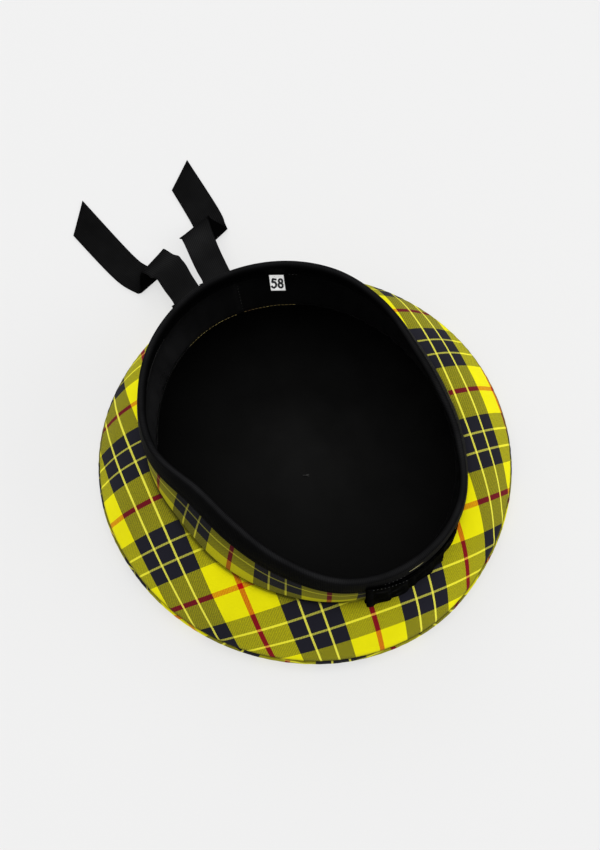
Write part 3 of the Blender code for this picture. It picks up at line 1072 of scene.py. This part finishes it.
def liningBandColumn(step, bearing):
    low, more, middle, reach = liningBand["gleam"]
    least, uneven, size = liningBand["puckerStrength"]
    ridge, ridgeReach = liningBand["seamRidge"]
    joinMore, joinPlace, joinReach = liningBand["joinGleam"]
    steps = bonnet["roundSteps"]
    length = bandLength(bearing)
    along = liningLengths[step]
    away = (step if step < steps / 2 else step - steps) * liningLengths[-1] / steps
    strength = least + uneven * noiseAlong(along, size, 9.0)
    turned = (bearing - middle + 180.0) % 360.0 - 180.0
    points = []
    pattern = []
    shade = []
    for row in range(liningBand["rows"] + 1):
        part = row / liningBand["rows"]
        depth = liningBand["top"] + (length - liningBand["top"]) * part
        fold = gathers(along / liningBand["puckerSize"], strength, 4) * smooth(part)
        outset = liningOutset(depth / length) - liningBand["pucker"] * fold
        outset += ridge * hump(away, ridgeReach)
        points.append(bandPoint(bearing, depth, outset))
        pattern.append((along, depth))
        tone = low + more * hump(turned, reach) * smooth(part / liningBand["gleamPart"])
        tone += joinMore * hump(away - joinPlace, joinReach)
        shade.append(tone * (1 - liningBand["puckerShade"] * max(fold, 0.0)))
    down, outwards, further = liningBand["tuck"]
    points.append(bandPoint(bearing, length + down, liningOutset(1.0) + outwards))
    pattern.append((along, length + further))
    return points, pattern, shade + [low]


def liningCrownPlaces(bearing):
    rim, seam, edge = section(bearing)
    under = [undersidePlace(bearing, part)[0] for part in liningCrown["underParts"]]
    profile = under + panelRows(edge, liningCrown["topFirst"])
    skin = bonnet["cloth"] + 2 * bonnet["gap"]
    moved = []
    for index, place in enumerate(profile):
        before = profile[max(index - 1, 0)]
        after = profile[min(index + 1, len(profile) - 1)]
        ease = liningCrown["ease"][index] if index < len(liningCrown["ease"]) else 0.0
        moved.append(place - sideNormal(before, after) * (skin + ease))
    return smoothProfile(moved, liningCrown["steps"])


def liningCrownColumn(step, bearing):
    foot, height, reach = liningCrown["hill"]
    (gleamX, gleamY), gleamReach, light, dark = liningCrown["gleam"]
    least, uneven, swings = liningCrown["gatherStrength"]
    level, broad, small = liningCrown["waveStrength"]
    size = liningCrown["waveSize"]
    rim, seam, edge = section(bearing)
    strength = least + uneven * noiseRound(bearing, swings, 3.0)
    turns = round(math.radians(bearing) * seam.x / liningCrown["gatherSize"], 3)
    fold = liningCrown["gather"] * gathers(turns, strength, 3)
    places = liningCrownPlaces(bearing)
    points = []
    for place, travelled in zip(places, runLengths(places)):
        point = inPlan(bearing, place.x, place.y)
        gather = fold * fading(travelled, liningCrown["gatherReach"])
        swell = level + broad * softNoise(point, size, 5.0) + small * softNoise(point, size / 3, 8.0)
        lift = liningCrown["wave"] * max(swell, 0.0) * smooth(travelled / liningCrown["waveStart"])
        floor = max(place.y, foot + height * hump(place.x, reach))
        floor += gather * liningCrown["gatherRise"] + lift
        points.append(inPlan(bearing, place.x - gather, floor))
    shade = []
    for point in points:
        away = math.hypot(point.x - gleamX, point.y - gleamY) / gleamReach
        shade.append(dark + (light - dark) * (1 - smooth(away)))
    return points, [(point.x, point.y) for point in points], shade


def makeLinings():
    wearCloth(
        "bandLining", aroundHat(liningBandColumn, liningBand["seamBearing"]), bandSatin,
        bonnet["satin"] * liningBand["wall"], "lining_satin", "lining_band")
    foot, height, reach = liningCrown["hill"]
    hilltop = Vector((0.0, 0.0, foot + height + liningCrown["wave"] * 0.6))
    wearCloth(
        "crownLining", aroundHat(liningCrownColumn), crownSatin,
        bonnet["satin"] * liningCrown["wall"], "lining_satin", "lining_crown",
        centre=(hilltop, (0.0, 0.0)))


makeLinings()
print("linings: done")

# Ribbon tails
tails = {
    "width": 0.0200,
    "thickness": 0.0007,
    "steps": 8,
    "across": 10,
    "cut": 0.0078,            # each corner of the slanted end is this far from square
    "crease": 0.8,            # a slanting crease widens the strip no more than by 1 / this
    "curl": 0.00025,
    "restsOn": ["headband", "crown_underside", "floor"],
}
# x, y, z of the middle line, turn of the width in plan, its part of the width, shade: painted shade under
# and beside the folds, painted highlight just before the crests
rightTailRows = (
    (0.0105, 0.1058, 0.0700, -6.0, 1.00, 1.0),
    (0.0125, 0.1076, 0.0590, -9.0, 1.00, 1.0),
    (0.0155, 0.1112, 0.0450, -11.0, 1.00, 1.0),
    (0.0197, 0.1185, 0.0310, -11.0, 0.95, 1.0),
    (0.0242, 0.1272, 0.0220, -10.6, 0.91, 1.0),
    (0.0271, 0.1371, 0.0160, -11.5, 0.94, 1.0),
    (0.0296, 0.1466, 0.0130, -11.6, 0.95, 1.05),
    (0.0330, 0.1597, 0.0125, -5.3, 0.97, 1.6),
    (0.0346, 0.1656, 0.0132, 4.0, 1.01, 0.9),
    (0.0355, 0.1680, 0.0122, 7.5, 0.97, 0.2),
    (0.0377, 0.1662, 0.0098, 9.0, 0.97, 0.02),
    (0.0424, 0.1592, 0.0052, 11.0, 1.00, 0.02),
    (0.0437, 0.1575, 0.0028, 11.7, 1.00, 0.02),
    (0.0444, 0.1592, 0.0010, 6.0, 1.00, 0.06),
    (0.0460, 0.1655, 0.0006, -5.0, 1.00, 0.55),
    (0.0488, 0.1769, 0.0006, -8.7, 1.00, 0.9),
    (0.0525, 0.2103, 0.0006, -8.7, 0.96, 0.62),
)
leftTailRows = (
    (-0.0105, 0.1058, 0.0700, 6.0, 1.00, 1.0),
    (-0.0085, 0.1076, 0.0590, 3.0, 1.00, 1.0),
    (-0.0060, 0.1112, 0.0450, 2.0, 1.00, 1.0),
    (-0.0025, 0.1180, 0.0310, 3.0, 0.98, 1.0),
    (0.0019, 0.1268, 0.0220, 3.3, 0.94, 1.0),
    (0.0041, 0.1398, 0.0160, 1.5, 0.98, 1.0),
    (0.0058, 0.1518, 0.0125, 2.2, 1.02, 0.95),
    (0.0034, 0.1574, 0.0130, 9.0, 1.01, 1.6),
    (0.0012, 0.1624, 0.0134, 14.0, 1.03, 0.8),
    (0.0004, 0.1634, 0.0120, 15.3, 1.03, 0.2),
    (-0.0008, 0.1618, 0.0096, 14.0, 1.02, 0.02),
    (-0.0036, 0.1568, 0.0050, 9.0, 1.00, 0.02),
    (-0.0043, 0.1557, 0.0028, 8.1, 1.00, 0.02),
    (-0.0056, 0.1574, 0.0014, 15.0, 0.98, 0.06),
    (-0.0105, 0.1639, 0.0012, 28.2, 0.98, 0.75),
    (-0.0141, 0.1790, 0.0006, 17.4, 0.98, 0.85),
    (-0.0178, 0.2225, 0.0006, 6.0, 1.00, 0.55),
)


def tailStations(rows):
    stations = []
    for index in range(len(rows) - 1):
        near = list(zip(*fourNear(rows, index)))
        for step in range(tails["steps"]):
            stations.append([catmull(*values, step / tails["steps"]) for values in near])
    stations.append(list(rows[-1]))
    return stations


def makeTail(name, node, rows):
    stations = tailStations(rows)
    middles = [Vector(station[:3]) for station in stations]
    last = len(stations) - 1
    lengths = runLengths(middles)
    endRun = lengths[last] - lengths[last - tails["steps"]]
    columns = []
    for index, (x, y, z, turn, wide, shade) in enumerate(stations):
        across = inPlan(turn, 1.0, 0.0)
        along = (middles[min(index + 1, last)] - middles[max(index - 1, 0)]).normalized()
        face = across.cross(along)
        half = tails["width"] * wide / 2 / max(face.length, tails["crease"])
        face.normalize()
        slant = tails["cut"] * max(1 - (lengths[last] - lengths[index]) / endRun, 0.0)
        points = []
        pattern = []
        for step in range(tails["across"] + 1):
            side = 2 * step / tails["across"] - 1
            curl = face * tails["curl"] * (side ** 4) * math.copysign(1, face.z)
            point = middles[index] + across * half * side + along * slant * side + curl
            point.z = max(point.z, tails["thickness"] / 2)
            points.append(point)
            pattern.append((side * tails["width"] / 2, lengths[index] + slant * side))
        columns.append((points, pattern, [max(shade, 0.0)] * len(points)))
    mesh = gridMesh(name, *threeLists(columns), around=False)
    thing = giveWall(link(name, mesh, tailRibbon), tails["thickness"], offset=0.0)
    wear(thing, "tail_ribbon", node)


makeTail("ribbonTailRight", "ribbon_tail_right", rightTailRows)
makeTail("ribbonTailLeft", "ribbon_tail_left", leftTailRows)
print("ribbon tails: done")

# Cockade: a pleated strip of ribbon and three loops over it, sewn by their upper edges
cockade = {
    "radius": 0.104,          # of the band where it is sewn
    "thickness": 0.0005,
    "rows": 14,
    "columnsInPleat": 14,
    "pleat": 0.0009,
    "pleatAtTop": 0.3,        # the sewing holds the pleats this flat
    "fold": 0.78,             # where in a pleat the ribbon turns back
    "droop": 1.3,
    "pleatShift": 0.37,       # each layer's pleats start this much later
    "waver": (0.0006, 5, 6),  # height, and its size round the band and down it
    "turnRadius": 0.0008,     # the foot is turned in
    "turnSteps": 4,
    "turnIn": 0.0030,
    # painted shade in the pleats' valleys and on the folded back part, painted highlight on their sides
    # and crests
    "valleyShade": 0.15,
    "sideShade": (0.4, 2),    # how much lighter, and how sharply it grows
    "crestShade": (0.5, 16),
    "foldedShade": (0.8, 0.5),        # the folded back part: where it starts, and its shade
    # painted sheen streaks along the ribbon: strength, their size round the band and down it, the least
    "sheenStreaks": (14.0, 5.0, 0.0030, 0.1),
}
# pleats, then along the layer: bearing, top and foot below the rim, outset at the top and at the foot
cockadeLayers = (
    (7, (
        (252.4, 0.0066, 0.0285, 0.0022, 0.0050),
        (258.0, 0.0082, 0.0290, 0.0021, 0.0042),
        (265.0, 0.0088, 0.0290, 0.0021, 0.0037),
        (273.0, 0.0086, 0.0290, 0.0021, 0.0031),
        (281.0, 0.0078, 0.0285, 0.0021, 0.0028),
        (288.6, 0.0076, 0.0280, 0.0021, 0.0024),
    )),
    (3, (
        (252.6, 0.0054, 0.0292, 0.0028, 0.0067),
        (257.5, 0.0070, 0.0302, 0.0029, 0.0061),
        (263.0, 0.0098, 0.0302, 0.0029, 0.0059),
        (268.6, 0.0130, 0.0298, 0.0026, 0.0053),
    )),
    (3, (
        (264.0, 0.0132, 0.0290, 0.0022, 0.0038),
        (268.5, 0.0116, 0.0298, 0.0024, 0.0046),
        (275.0, 0.0106, 0.0300, 0.0026, 0.0048),
        (280.4, 0.0116, 0.0296, 0.0026, 0.0048),
    )),
    (2, (
        (276.5, 0.0112, 0.0285, 0.0021, 0.0027),
        (283.0, 0.0100, 0.0296, 0.0023, 0.0033),
        (288.4, 0.0104, 0.0282, 0.0021, 0.0028),
    )),
)


def pleatWave(place):
    # a knife pleat: a slow rise, then a quick fold back
    part = place % 1.0
    fold = cockade["fold"]
    if part < fold:
        return smooth(part / fold)
    return 1 - smooth((part - fold) / (1 - fold))


def cockadeOutline(bearing, top, foot, high, low, wave, seed):
    # outset and depth, from the sewn edge down to the foot, turned in there
    outline = []
    height, long, deep = cockade["waver"]
    held = cockade["pleatAtTop"]
    for row in range(cockade["rows"] + 1):
        down = row / cockade["rows"]
        outset = high + (low - high) * down ** cockade["droop"]
        outset += cockade["pleat"] * (wave - 1) * (held + (1 - held) * down)
        outset += height * noise.noise(Vector((bearing / long, down * deep, seed))) * down
        outline.append((max(outset, bonnet["gap"]), top + (foot - top) * down))
    edge = outline[-1][0]
    radius = min(cockade["turnRadius"], (edge - bonnet["gap"]) / 2)
    for step in range(1, cockade["turnSteps"] + 1):
        angle = math.pi * step / cockade["turnSteps"]
        outline.append((edge - radius * (1 - math.cos(angle)), foot + radius * math.sin(angle)))
    outline.append((edge - 2 * radius, foot - cockade["turnIn"]))
    return outline


def cockadeShades(bearing, outline, turn, wave, seed):
    # painted shade and highlight by the pleats, and painted sheen streaks
    shade = cockade["valleyShade"]
    for lighter, power in (cockade["sideShade"], cockade["crestShade"]):
        shade += lighter * wave ** power
    start, folded = cockade["foldedShade"]
    strength, long, deep, least = cockade["sheenStreaks"]
    shades = []
    for outset, depth in outline:
        streak = noise.noise(Vector((bearing / long, depth / deep, seed)))
        tone = shade + strength * max(streak - least, 0.0) ** 2
        shades.append(tone * (folded if turn % 1.0 > start else 1.0))
    return shades


def cockadeColumn(number, pleats, rows, part):
    # part of the way along one of the layers
    place = part * (len(rows) - 1)
    first = min(int(place), len(rows) - 2)
    values = [catmull(*row, place - first) for row in zip(*fourNear(rows, first))]
    turn = part * pleats + cockade["pleatShift"] * number
    wave = pleatWave(turn)
    outline = cockadeOutline(*values, wave, number * 3.1)
    along = math.radians(values[0]) * cockade["radius"]
    return (
        [bandPoint(values[0], depth, outset) for outset, depth in outline],
        [(outset + depth, along) for outset, depth in outline],
        cockadeShades(values[0], outline, turn, wave, number * 7.0),
    )


def joined(name, things):
    # several objects' meshes as one piece
    with bpy.context.temp_override(
            active_object=things[0], selected_editable_objects=things, selected_objects=things):
        bpy.ops.object.join()
    things[0].name = name
    things[0].data.name = name
    return things[0]


def makeCockade():
    layers = []
    for number, (pleats, rows) in enumerate(cockadeLayers):
        count = pleats * cockade["columnsInPleat"]
        columns = [
            cockadeColumn(number, pleats, rows, index / count) for index in range(count + 1)]
        mesh = gridMesh("cockadeLayer", *threeLists(columns), around=False)
        thing = link(f"cockadeLayer{number}", mesh, cockadeRibbon)
        layers.append(giveWall(thing, cockade["thickness"], offset=0.0))
    wear(joined("cockadePleats", layers), "cockade_ribbon", "cockade")


makeCockade()
print("cockade: done")

# Stitches: short threads set along a run by Geometry Nodes
stitchKinds = {
    # pitch, length, radius, random turn in degrees
    "machine": (0.0028, 0.0021, 0.00017, 4.0),
    "overlock": (0.0022, 0.0018, 0.00013, 14.0),
    "fine": (0.0019, 0.0012, 0.00015, 6.0),
    "dotted": (0.0015, 0.0007, 0.00016, 10.0),
    "spaced": (0.0022, 0.0008, 0.00020, 12.0),
}


def randomBetween(tree, low, high, seed):
    chance = addNode(tree, "FunctionNodeRandomValue", {"data_type": "FLOAT"}, Seed=seed)
    setInput(tree, chance.inputs[2], low)
    setInput(tree, chance.inputs[3], high)
    return chance.outputs[1]


def setOn(tree, spots, shape, rotation, radius, length):
    # the shape on each of the spots, as real geometry
    size = addNode(tree, "ShaderNodeCombineXYZ", X=radius, Y=radius, Z=length)
    placed = addNode(
        tree, "GeometryNodeInstanceOnPoints", Points=spots.outputs["Points"],
        Instance=shape.outputs["Mesh"], Rotation=rotation, Scale=size.outputs[0])
    return addNode(tree, "GeometryNodeRealizeInstances", Geometry=placed.outputs[0]).outputs[0]


def paint(tree, geometry, material, end):
    painted = addNode(tree, "GeometryNodeSetMaterial", Geometry=geometry, Material=material)
    setInput(tree, end, painted.outputs[0])


def growOn(thing, tree, **values):
    # the tree as a modifier, each input set by its identifier, then made the plain mesh
    modifier = thing.modifiers.new(tree.name, "NODES")
    modifier.node_group = tree
    for item in tree.interface.items_tree:
        if item.name in values:
            modifier[item.identifier] = values[item.name]
    return baked(thing)


def makeStitchTree():
    inputs = {"Run": "Geometry", "Pitch": "Float", "Length": "Float", "Radius": "Float"}
    inputs.update({"Turn": "Float", "Thread": "Material"})
    tree, start, end = newGroup("Geometry", "stitchRun", inputs, {"Stitches": "Geometry"})
    curve = addNode(tree, "GeometryNodeMeshToCurve", Mesh=start["Run"])
    spots = addNode(
        tree, "GeometryNodeCurveToPoints", {"mode": "LENGTH"}, Curve=curve.outputs[0],
        Length=start["Pitch"])
    ball = addNode(tree, "GeometryNodeMeshUVSphere", Segments=6, Rings=5, Radius=1.0)
    turn = randomBetween(tree, compute(tree, "MULTIPLY", start["Turn"], -1.0), start["Turn"], 11)
    angles = addNode(tree, "ShaderNodeCombineXYZ", X=compute(tree, "RADIANS", turn))
    tilt = addNode(tree, "FunctionNodeEulerToRotation", Euler=angles.outputs[0])
    twist = addNode(
        tree, "FunctionNodeRotateRotation", {"rotation_space": "LOCAL"},
        Rotation=spots.outputs["Rotation"], Rotate_By=tilt.outputs[0])
    length = compute(tree, "MULTIPLY", start["Length"], 0.5)
    real = setOn(tree, spots, ball, twist.outputs[0], start["Radius"], length)
    softened = addNode(tree, "GeometryNodeSetShadeSmooth", Geometry=real)
    paint(tree, softened.outputs[0], start["Thread"], end["Stitches"])
    return tree


stitchTree = makeStitchTree()


def sewRuns(name, runs, kind, thread, slot):
    # one piece of stitches along each run of points
    points = []
    edges = []
    for run in runs:
        base = len(points)
        points.extend(run)
        edges.extend((base + step, base + step + 1) for step in range(len(run) - 1))
    mesh = bpy.data.meshes.new(name)
    mesh.from_pydata(points, edges, [])
    pitch, length, radius, turn = stitchKinds[kind]
    thing = growOn(
        addThing(name, mesh), stitchTree, Pitch=pitch, Length=length, Radius=radius, Turn=turn,
        Thread=thread)
    wear(thing, slot)


def threadTube(name, runs, radius, material, slot):
    # a round thread along each run of points
    data = bpy.data.curves.new(name, "CURVE")
    data.dimensions = "3D"
    data.bevel_depth = radius
    data.bevel_resolution = 2
    data.use_fill_caps = True
    for run in runs:
        line = data.splines.new("POLY")
        line.points.add(len(run) - 1)
        for spot, point in zip(line.points, run):
            spot.co = (*point, 1.0)
    tube = addThing(name, data)
    mesh = meshOf(tube)
    bpy.data.objects.remove(tube)
    mesh.materials.clear()
    wear(link(name, mesh, material), slot)


# Runs on the band as bearings of their start and end
sewing = {
    "sunk": 0.0002,           # how far a stitch lies in the ribbon
    "roundSteps": 500,
    "runSteps": 120,
    "glintDrop": 0.0004,      # painted glints: grey stitches at the bare edge of the inner leg, where light catches it
    "glints": ((111, 131, 60), (57.4, 59.8, 8)),      # each also with its steps
    "cockade": (254.6, 265.4),
    "cockadeDepth": (0.0064, 0.00052),                # at its start, and how it grows by degree
    "cockadeOutset": 0.0032,
    "cockadeSecond": (258.6, 265.0),
    "secondDepth": 0.0072,
    "looseLift": 0.0005,      # second run and tacking thread, off the binding
    "tacking": (266.6, 271.6, 16),
    "tackingDepth": (0.0035, -0.00012),
    "tackingRadius": 0.00017,
    "liningRise": 0.0001,
    "liningLift": 0.0009,
    "lining": ((58.5, 76.8), (80.6, 101)),
    "liningDots": (101, 145),
    "join": (0.0160, 0.001, 20),      # first depth, spacing and count of the points down the join
    "joinTurn": 0.2,
    "joinLift": 0.0005,
}


def bandRun(start, end, depthAt, outset, steps=sewing["runSteps"]):
    # depthAt gives the depth below the rim at a bearing
    bearings = [start + (end - start) * step / steps for step in range(steps + 1)]
    return [bandPoint(bearing, depthAt(bearing), outset) for bearing in bearings]


def outerSeam(bearing):
    return outerFoot(bearing) - binding["stitchRise"]


def innerSeam(bearing):
    return innerFoot(bearing) - binding["stitchRise"]


def innerEdge(bearing):
    return innerFoot(bearing) - sewing["glintDrop"]


def cockadeSeam(bearing):
    depth, slope = sewing["cockadeDepth"]
    return depth + slope * (bearing - sewing["cockade"][0])


def secondSeam(bearing):
    return sewing["secondDepth"]


def tackingSeam(bearing):
    depth, slope = sewing["tackingDepth"]
    return depth + slope * (bearing - sewing["tacking"][0])


def liningFoot(bearing):
    return bandLength(bearing) - sewing["liningRise"]


def joinRun():
    bearing = liningBand["seamBearing"]
    length = bandLength(bearing)
    first, spacing, count = sewing["join"]
    depths = [first + spacing * step for step in range(count)]
    return [
        bandPoint(bearing + sewing["joinTurn"], depth, liningOutset(depth / length) - sewing["joinLift"])
        for depth in depths
    ]


def makeStitches():
    outer = bonnet["gap"] + bonnet["ribbon"] - sewing["sunk"]
    inner = binding["inner"] + sewing["sunk"]
    loose = outer + sewing["looseLift"]
    edge = inner - sewing["sunk"]
    foot = liningOutset(1.0) - sewing["liningLift"]
    sewRuns(
        "bindingStitches",
        [bandRun(0, 360, outerSeam, outer, sewing["roundSteps"]),
         bandRun(0, 360, innerSeam, inner, sewing["roundSteps"])],
        "machine", darkThread, "binding_ribbon")
    # painted glints of grey thread where light catches the inner leg's edge
    sewRuns(
        "bindingGlint",
        [bandRun(start, end, innerEdge, edge, steps) for start, end, steps in sewing["glints"]],
        "fine", greyThread, "binding_ribbon")
    sewRuns(
        "cockadeStitches",
        [bandRun(*sewing["cockade"], cockadeSeam, sewing["cockadeOutset"]),
         bandRun(*sewing["cockadeSecond"], secondSeam, loose)],
        "spaced", greyThread, "cockade_ribbon")
    start, end, steps = sewing["tacking"]
    threadTube(
        "tackingThread", [bandRun(start, end, tackingSeam, loose, steps)],
        sewing["tackingRadius"], tackingThread, "cockade_ribbon")
    sewRuns(
        "liningSeam", [bandRun(*run, liningFoot, foot) for run in sewing["lining"]],
        "overlock", seamThread, "lining_satin")
    sewRuns(
        "liningStitches", [bandRun(*sewing["liningDots"], liningFoot, foot)],
        "dotted", greyThread, "lining_satin")
    sewRuns("liningJoinStitches", [joinRun()], "spaced", greyThread, "lining_satin")


makeStitches()
print("stitches: done")

# Size label, sewn by its top edge, with plain digits
label = {
    "bearing": 64.4,
    "width": 0.0087,
    "height": 0.0097,
    "top": 0.0082,
    "tilt": 45.0,
    "standOff": 0.0004,       # from the binding's inner leg
    "askew": 8.8,             # its upper edge is not sewn quite level
    "thickness": 0.0004,
    "steps": 10,
    "curl": 0.0005,
    "sideCurl": 0.3,          # of the curl
    "digit": (0.0026, 0.0053),        # width and height of a digit's strokes
    "digitPitch": 0.0039,
    "digitTurns": (14.0, 6.0),
    "digitDrop": 0.0005,
    "stroke": 0.00061,
    "stitchSteps": 8,
    "stitchWidth": 0.8,       # of the label's width
    "stitchDrop": 0.0008,
    "stitchLift": 0.00045,
}
# a digit's curves in parts of its width and height, from its middle
fiveTop = ((0.42, 0.50), (-0.30, 0.50), (-0.40, 0.50), (-0.42, 0.44), (-0.44, 0.06))
fiveBowl = (
    (-0.42, 0.06), (0.05, 0.16), (0.46, -0.02), (0.46, -0.30), (0.10, -0.50), (-0.30, -0.46),
    (-0.50, -0.34),
)
eightRings = ((0.26, 0.40, 0.24), (-0.24, 0.48, 0.26))    # height of the middle, half width and height
ringSteps = 20


def strokesOfEight():
    turns = [2 * math.pi * step / ringSteps for step in range(ringSteps + 1)]
    return [
        [(wide * math.cos(turn), height + tall * math.sin(turn)) for turn in turns]
        for height, wide, tall in eightRings
    ]


def labelBend(x, y):
    # how far the tape's edges curl off, from its middle
    side = label["sideCurl"] * (2 * x / label["width"]) ** 2
    return label["curl"] * ((2 * y / label["height"]) ** 2 + side)


def digitRun(stroke, place, turn, pointAt):
    run = []
    for across, high in stroke:
        across *= label["digit"][0]
        high *= label["digit"][1]
        x = across * math.cos(turn) + high * math.sin(turn) + place * label["digitPitch"]
        y = high * math.cos(turn) - across * math.sin(turn) - label["digitDrop"]
        run.append(pointAt(x, y))
    return run


def makeLabel():
    sewn = binding["inner"] - label["standOff"]
    tilt = math.radians(label["tilt"])
    top = bandPoint(label["bearing"], label["top"], sewn)
    foot = bandPoint(
        label["bearing"], label["top"] + label["height"] * math.cos(tilt),
        sewn - label["height"] * math.sin(tilt))
    middle = (top + foot) / 2
    angle = math.radians(label["bearing"])
    level = Vector((math.sin(angle), -math.cos(angle), 0.0))
    up = (top - foot).normalized()
    out = level.cross(up).normalized()
    askew = math.radians(label["askew"])
    right = level * math.cos(askew) - up * math.sin(askew)
    steps = label["steps"]
    downs = [row / steps * label["height"] for row in range(steps + 1)]
    columns = []
    patterns = []
    for column in range(steps + 1):
        across = (column / steps - 0.5) * label["width"]
        patterns.append([(across, down) for down in downs])
        columns.append([
            top + right * across - up * down + out * labelBend(across, label["height"] / 2 - down)
            for down in downs
        ])
    mesh = gridMesh("sizeLabel", columns, patterns, around=False)
    thing = giveWall(link("sizeLabel", mesh, labelTape), label["thickness"], offset=0.0)
    wear(thing, "label_tape", "size_label")

    def inkPoint(x, y):
        return middle + right * x + up * y + out * (labelBend(x, y) + label["thickness"] / 2)

    digits = ((fiveTop, smoothProfile(fiveBowl, 5)), strokesOfEight())
    runs = []
    for place, turn, strokes in zip((-0.5, 0.5), label["digitTurns"], digits):
        runs += [digitRun(stroke, place, math.radians(turn), inkPoint) for stroke in strokes]
    threadTube("labelDigits", runs, label["stroke"], labelInk, "label_tape")
    edge = []
    for step in range(label["stitchSteps"] + 1):
        across = (step / label["stitchSteps"] - 0.5) * label["width"] * label["stitchWidth"]
        edge.append(top + right * across - up * label["stitchDrop"] + out * label["stitchLift"])
    sewRuns("labelStitches", [edge], "fine", paleThread, "label_tape")


makeLabel()
print("size label: done")

# Thread ends of the toorie's fixing, through the middle of the crown lining
tack = {
    "middle": (-0.0070, -0.0100),
    "radius": 0.00028,
    "arch": 0.00072,
    "lift": 0.0001,
    "steps": 8,
    "above": 0.1,             # where the search for the lining starts
    # start and end of each loose thread, from the middle
    "threads": (
        ((-0.0014, 0.0012), (0.0012, -0.0014)),
        ((-0.0002, 0.0002), (0.0016, -0.0006)),
    ),
}


def makeTack():
    lining = bpy.data.objects["crownLining"]
    runs = []
    for start, end in tack["threads"]:
        run = []
        for step in range(tack["steps"] + 1):
            part = step / tack["steps"]
            spot = [
                middle + first + (last - first) * part
                for middle, first, last in zip(tack["middle"], start, end)
            ]
            above = Vector((*spot, tack["above"]))
            found, place, normal, face = lining.ray_cast(above, Vector((0, 0, -1)))
            arch = tack["arch"] * math.sin(math.pi * part)
            run.append(Vector((*spot, place.z + tack["lift"] + arch)))
        runs.append(run)
    threadTube("tackStitch", runs, tack["radius"], greyThread, "lining_satin")


bpy.context.view_layer.update()
makeTack()
print("tack stitch: done")

# Toorie: a ball of cut yarn that the bonnet's weight has flattened
toorie = {
    "radius": 0.0175,
    "height": 0.0122,
    "core": 0.80,             # the bound middle, as a part of the whole
    "sides": 32,
    "steps": 3,
    "strands": 1500,
    "strandRadius": 0.00045,
    "strandTip": 0.7,         # of the strand's radius
    "strandLength": 0.0052,
    "strandParts": (0.75, 1.1),       # shortest and longest, of that length
    "lowest": 0.0001,
    "spotSeed": 5,
    "lengthSeed": 3,
    "fill": 0.7,
}
# its outline from the top down, as parts of its radius and height
toorieRows = (
    (0.30, 1.00),
    (0.56, 0.98),
    (0.84, 0.82),
    (1.00, 0.48),
    (0.92, 0.18),
    (0.66, 0.03),
    (0.30, 0.00),
)


def makeYarnTree():
    inputs = {"Core": "Geometry", "Density": "Float", "Length": "Float", "Radius": "Float"}
    inputs.update({"Yarn": "Material"})
    tree, start, end = newGroup("Geometry", "cutYarn", inputs, {"Ball": "Geometry"})
    spots = addNode(
        tree, "GeometryNodeDistributePointsOnFaces", Mesh=start["Core"],
        Density=start["Density"], Seed=toorie["spotSeed"])
    strand = addNode(
        tree, "GeometryNodeMeshCone", Vertices=6, Side_Segments=2,
        Radius_Top=toorie["strandTip"], Radius_Bottom=1.0, Depth=1.0)
    part = randomBetween(tree, *toorie["strandParts"], toorie["lengthSeed"])
    length = compute(tree, "MULTIPLY", start["Length"], part)
    real = setOn(tree, spots, strand, spots.outputs["Rotation"], start["Radius"], length)
    both = addNode(tree, "GeometryNodeJoinGeometry")
    tree.links.new(real, both.inputs[0])
    tree.links.new(start["Core"], both.inputs[0])
    paint(tree, both.outputs[0], start["Yarn"], end["Ball"])
    return tree


def makeToorie():
    sides = toorie["sides"]
    core = toorie["core"]
    outline = smoothProfile(toorieRows, toorie["steps"])
    columns = []
    for side in range(sides + 1):
        column = []
        for across, up in outline:
            height = toorie["height"] * (0.5 + (up - 0.5) * core)
            radius = toorie["radius"] * across * core
            column.append(inPlan(360.0 * side / sides, radius, height))
        columns.append(column)
    mesh = gridMesh("toorieBall", columns, [[(0.0, 0.0)] * len(outline)] * (sides + 1))
    area = closeMesh(mesh)
    thing = growOn(
        link("toorieBall", mesh, yarn), makeYarnTree(), Density=toorie["strands"] / area,
        Length=toorie["strandLength"], Radius=toorie["strandRadius"], Yarn=yarn)
    for vertex in thing.data.vertices:
        vertex.co.z = min(max(vertex.co.z, toorie["lowest"]), toorie["height"])
    wear(thing, "toorie_yarn", "toorie")


makeToorie()
print("toorie: done")
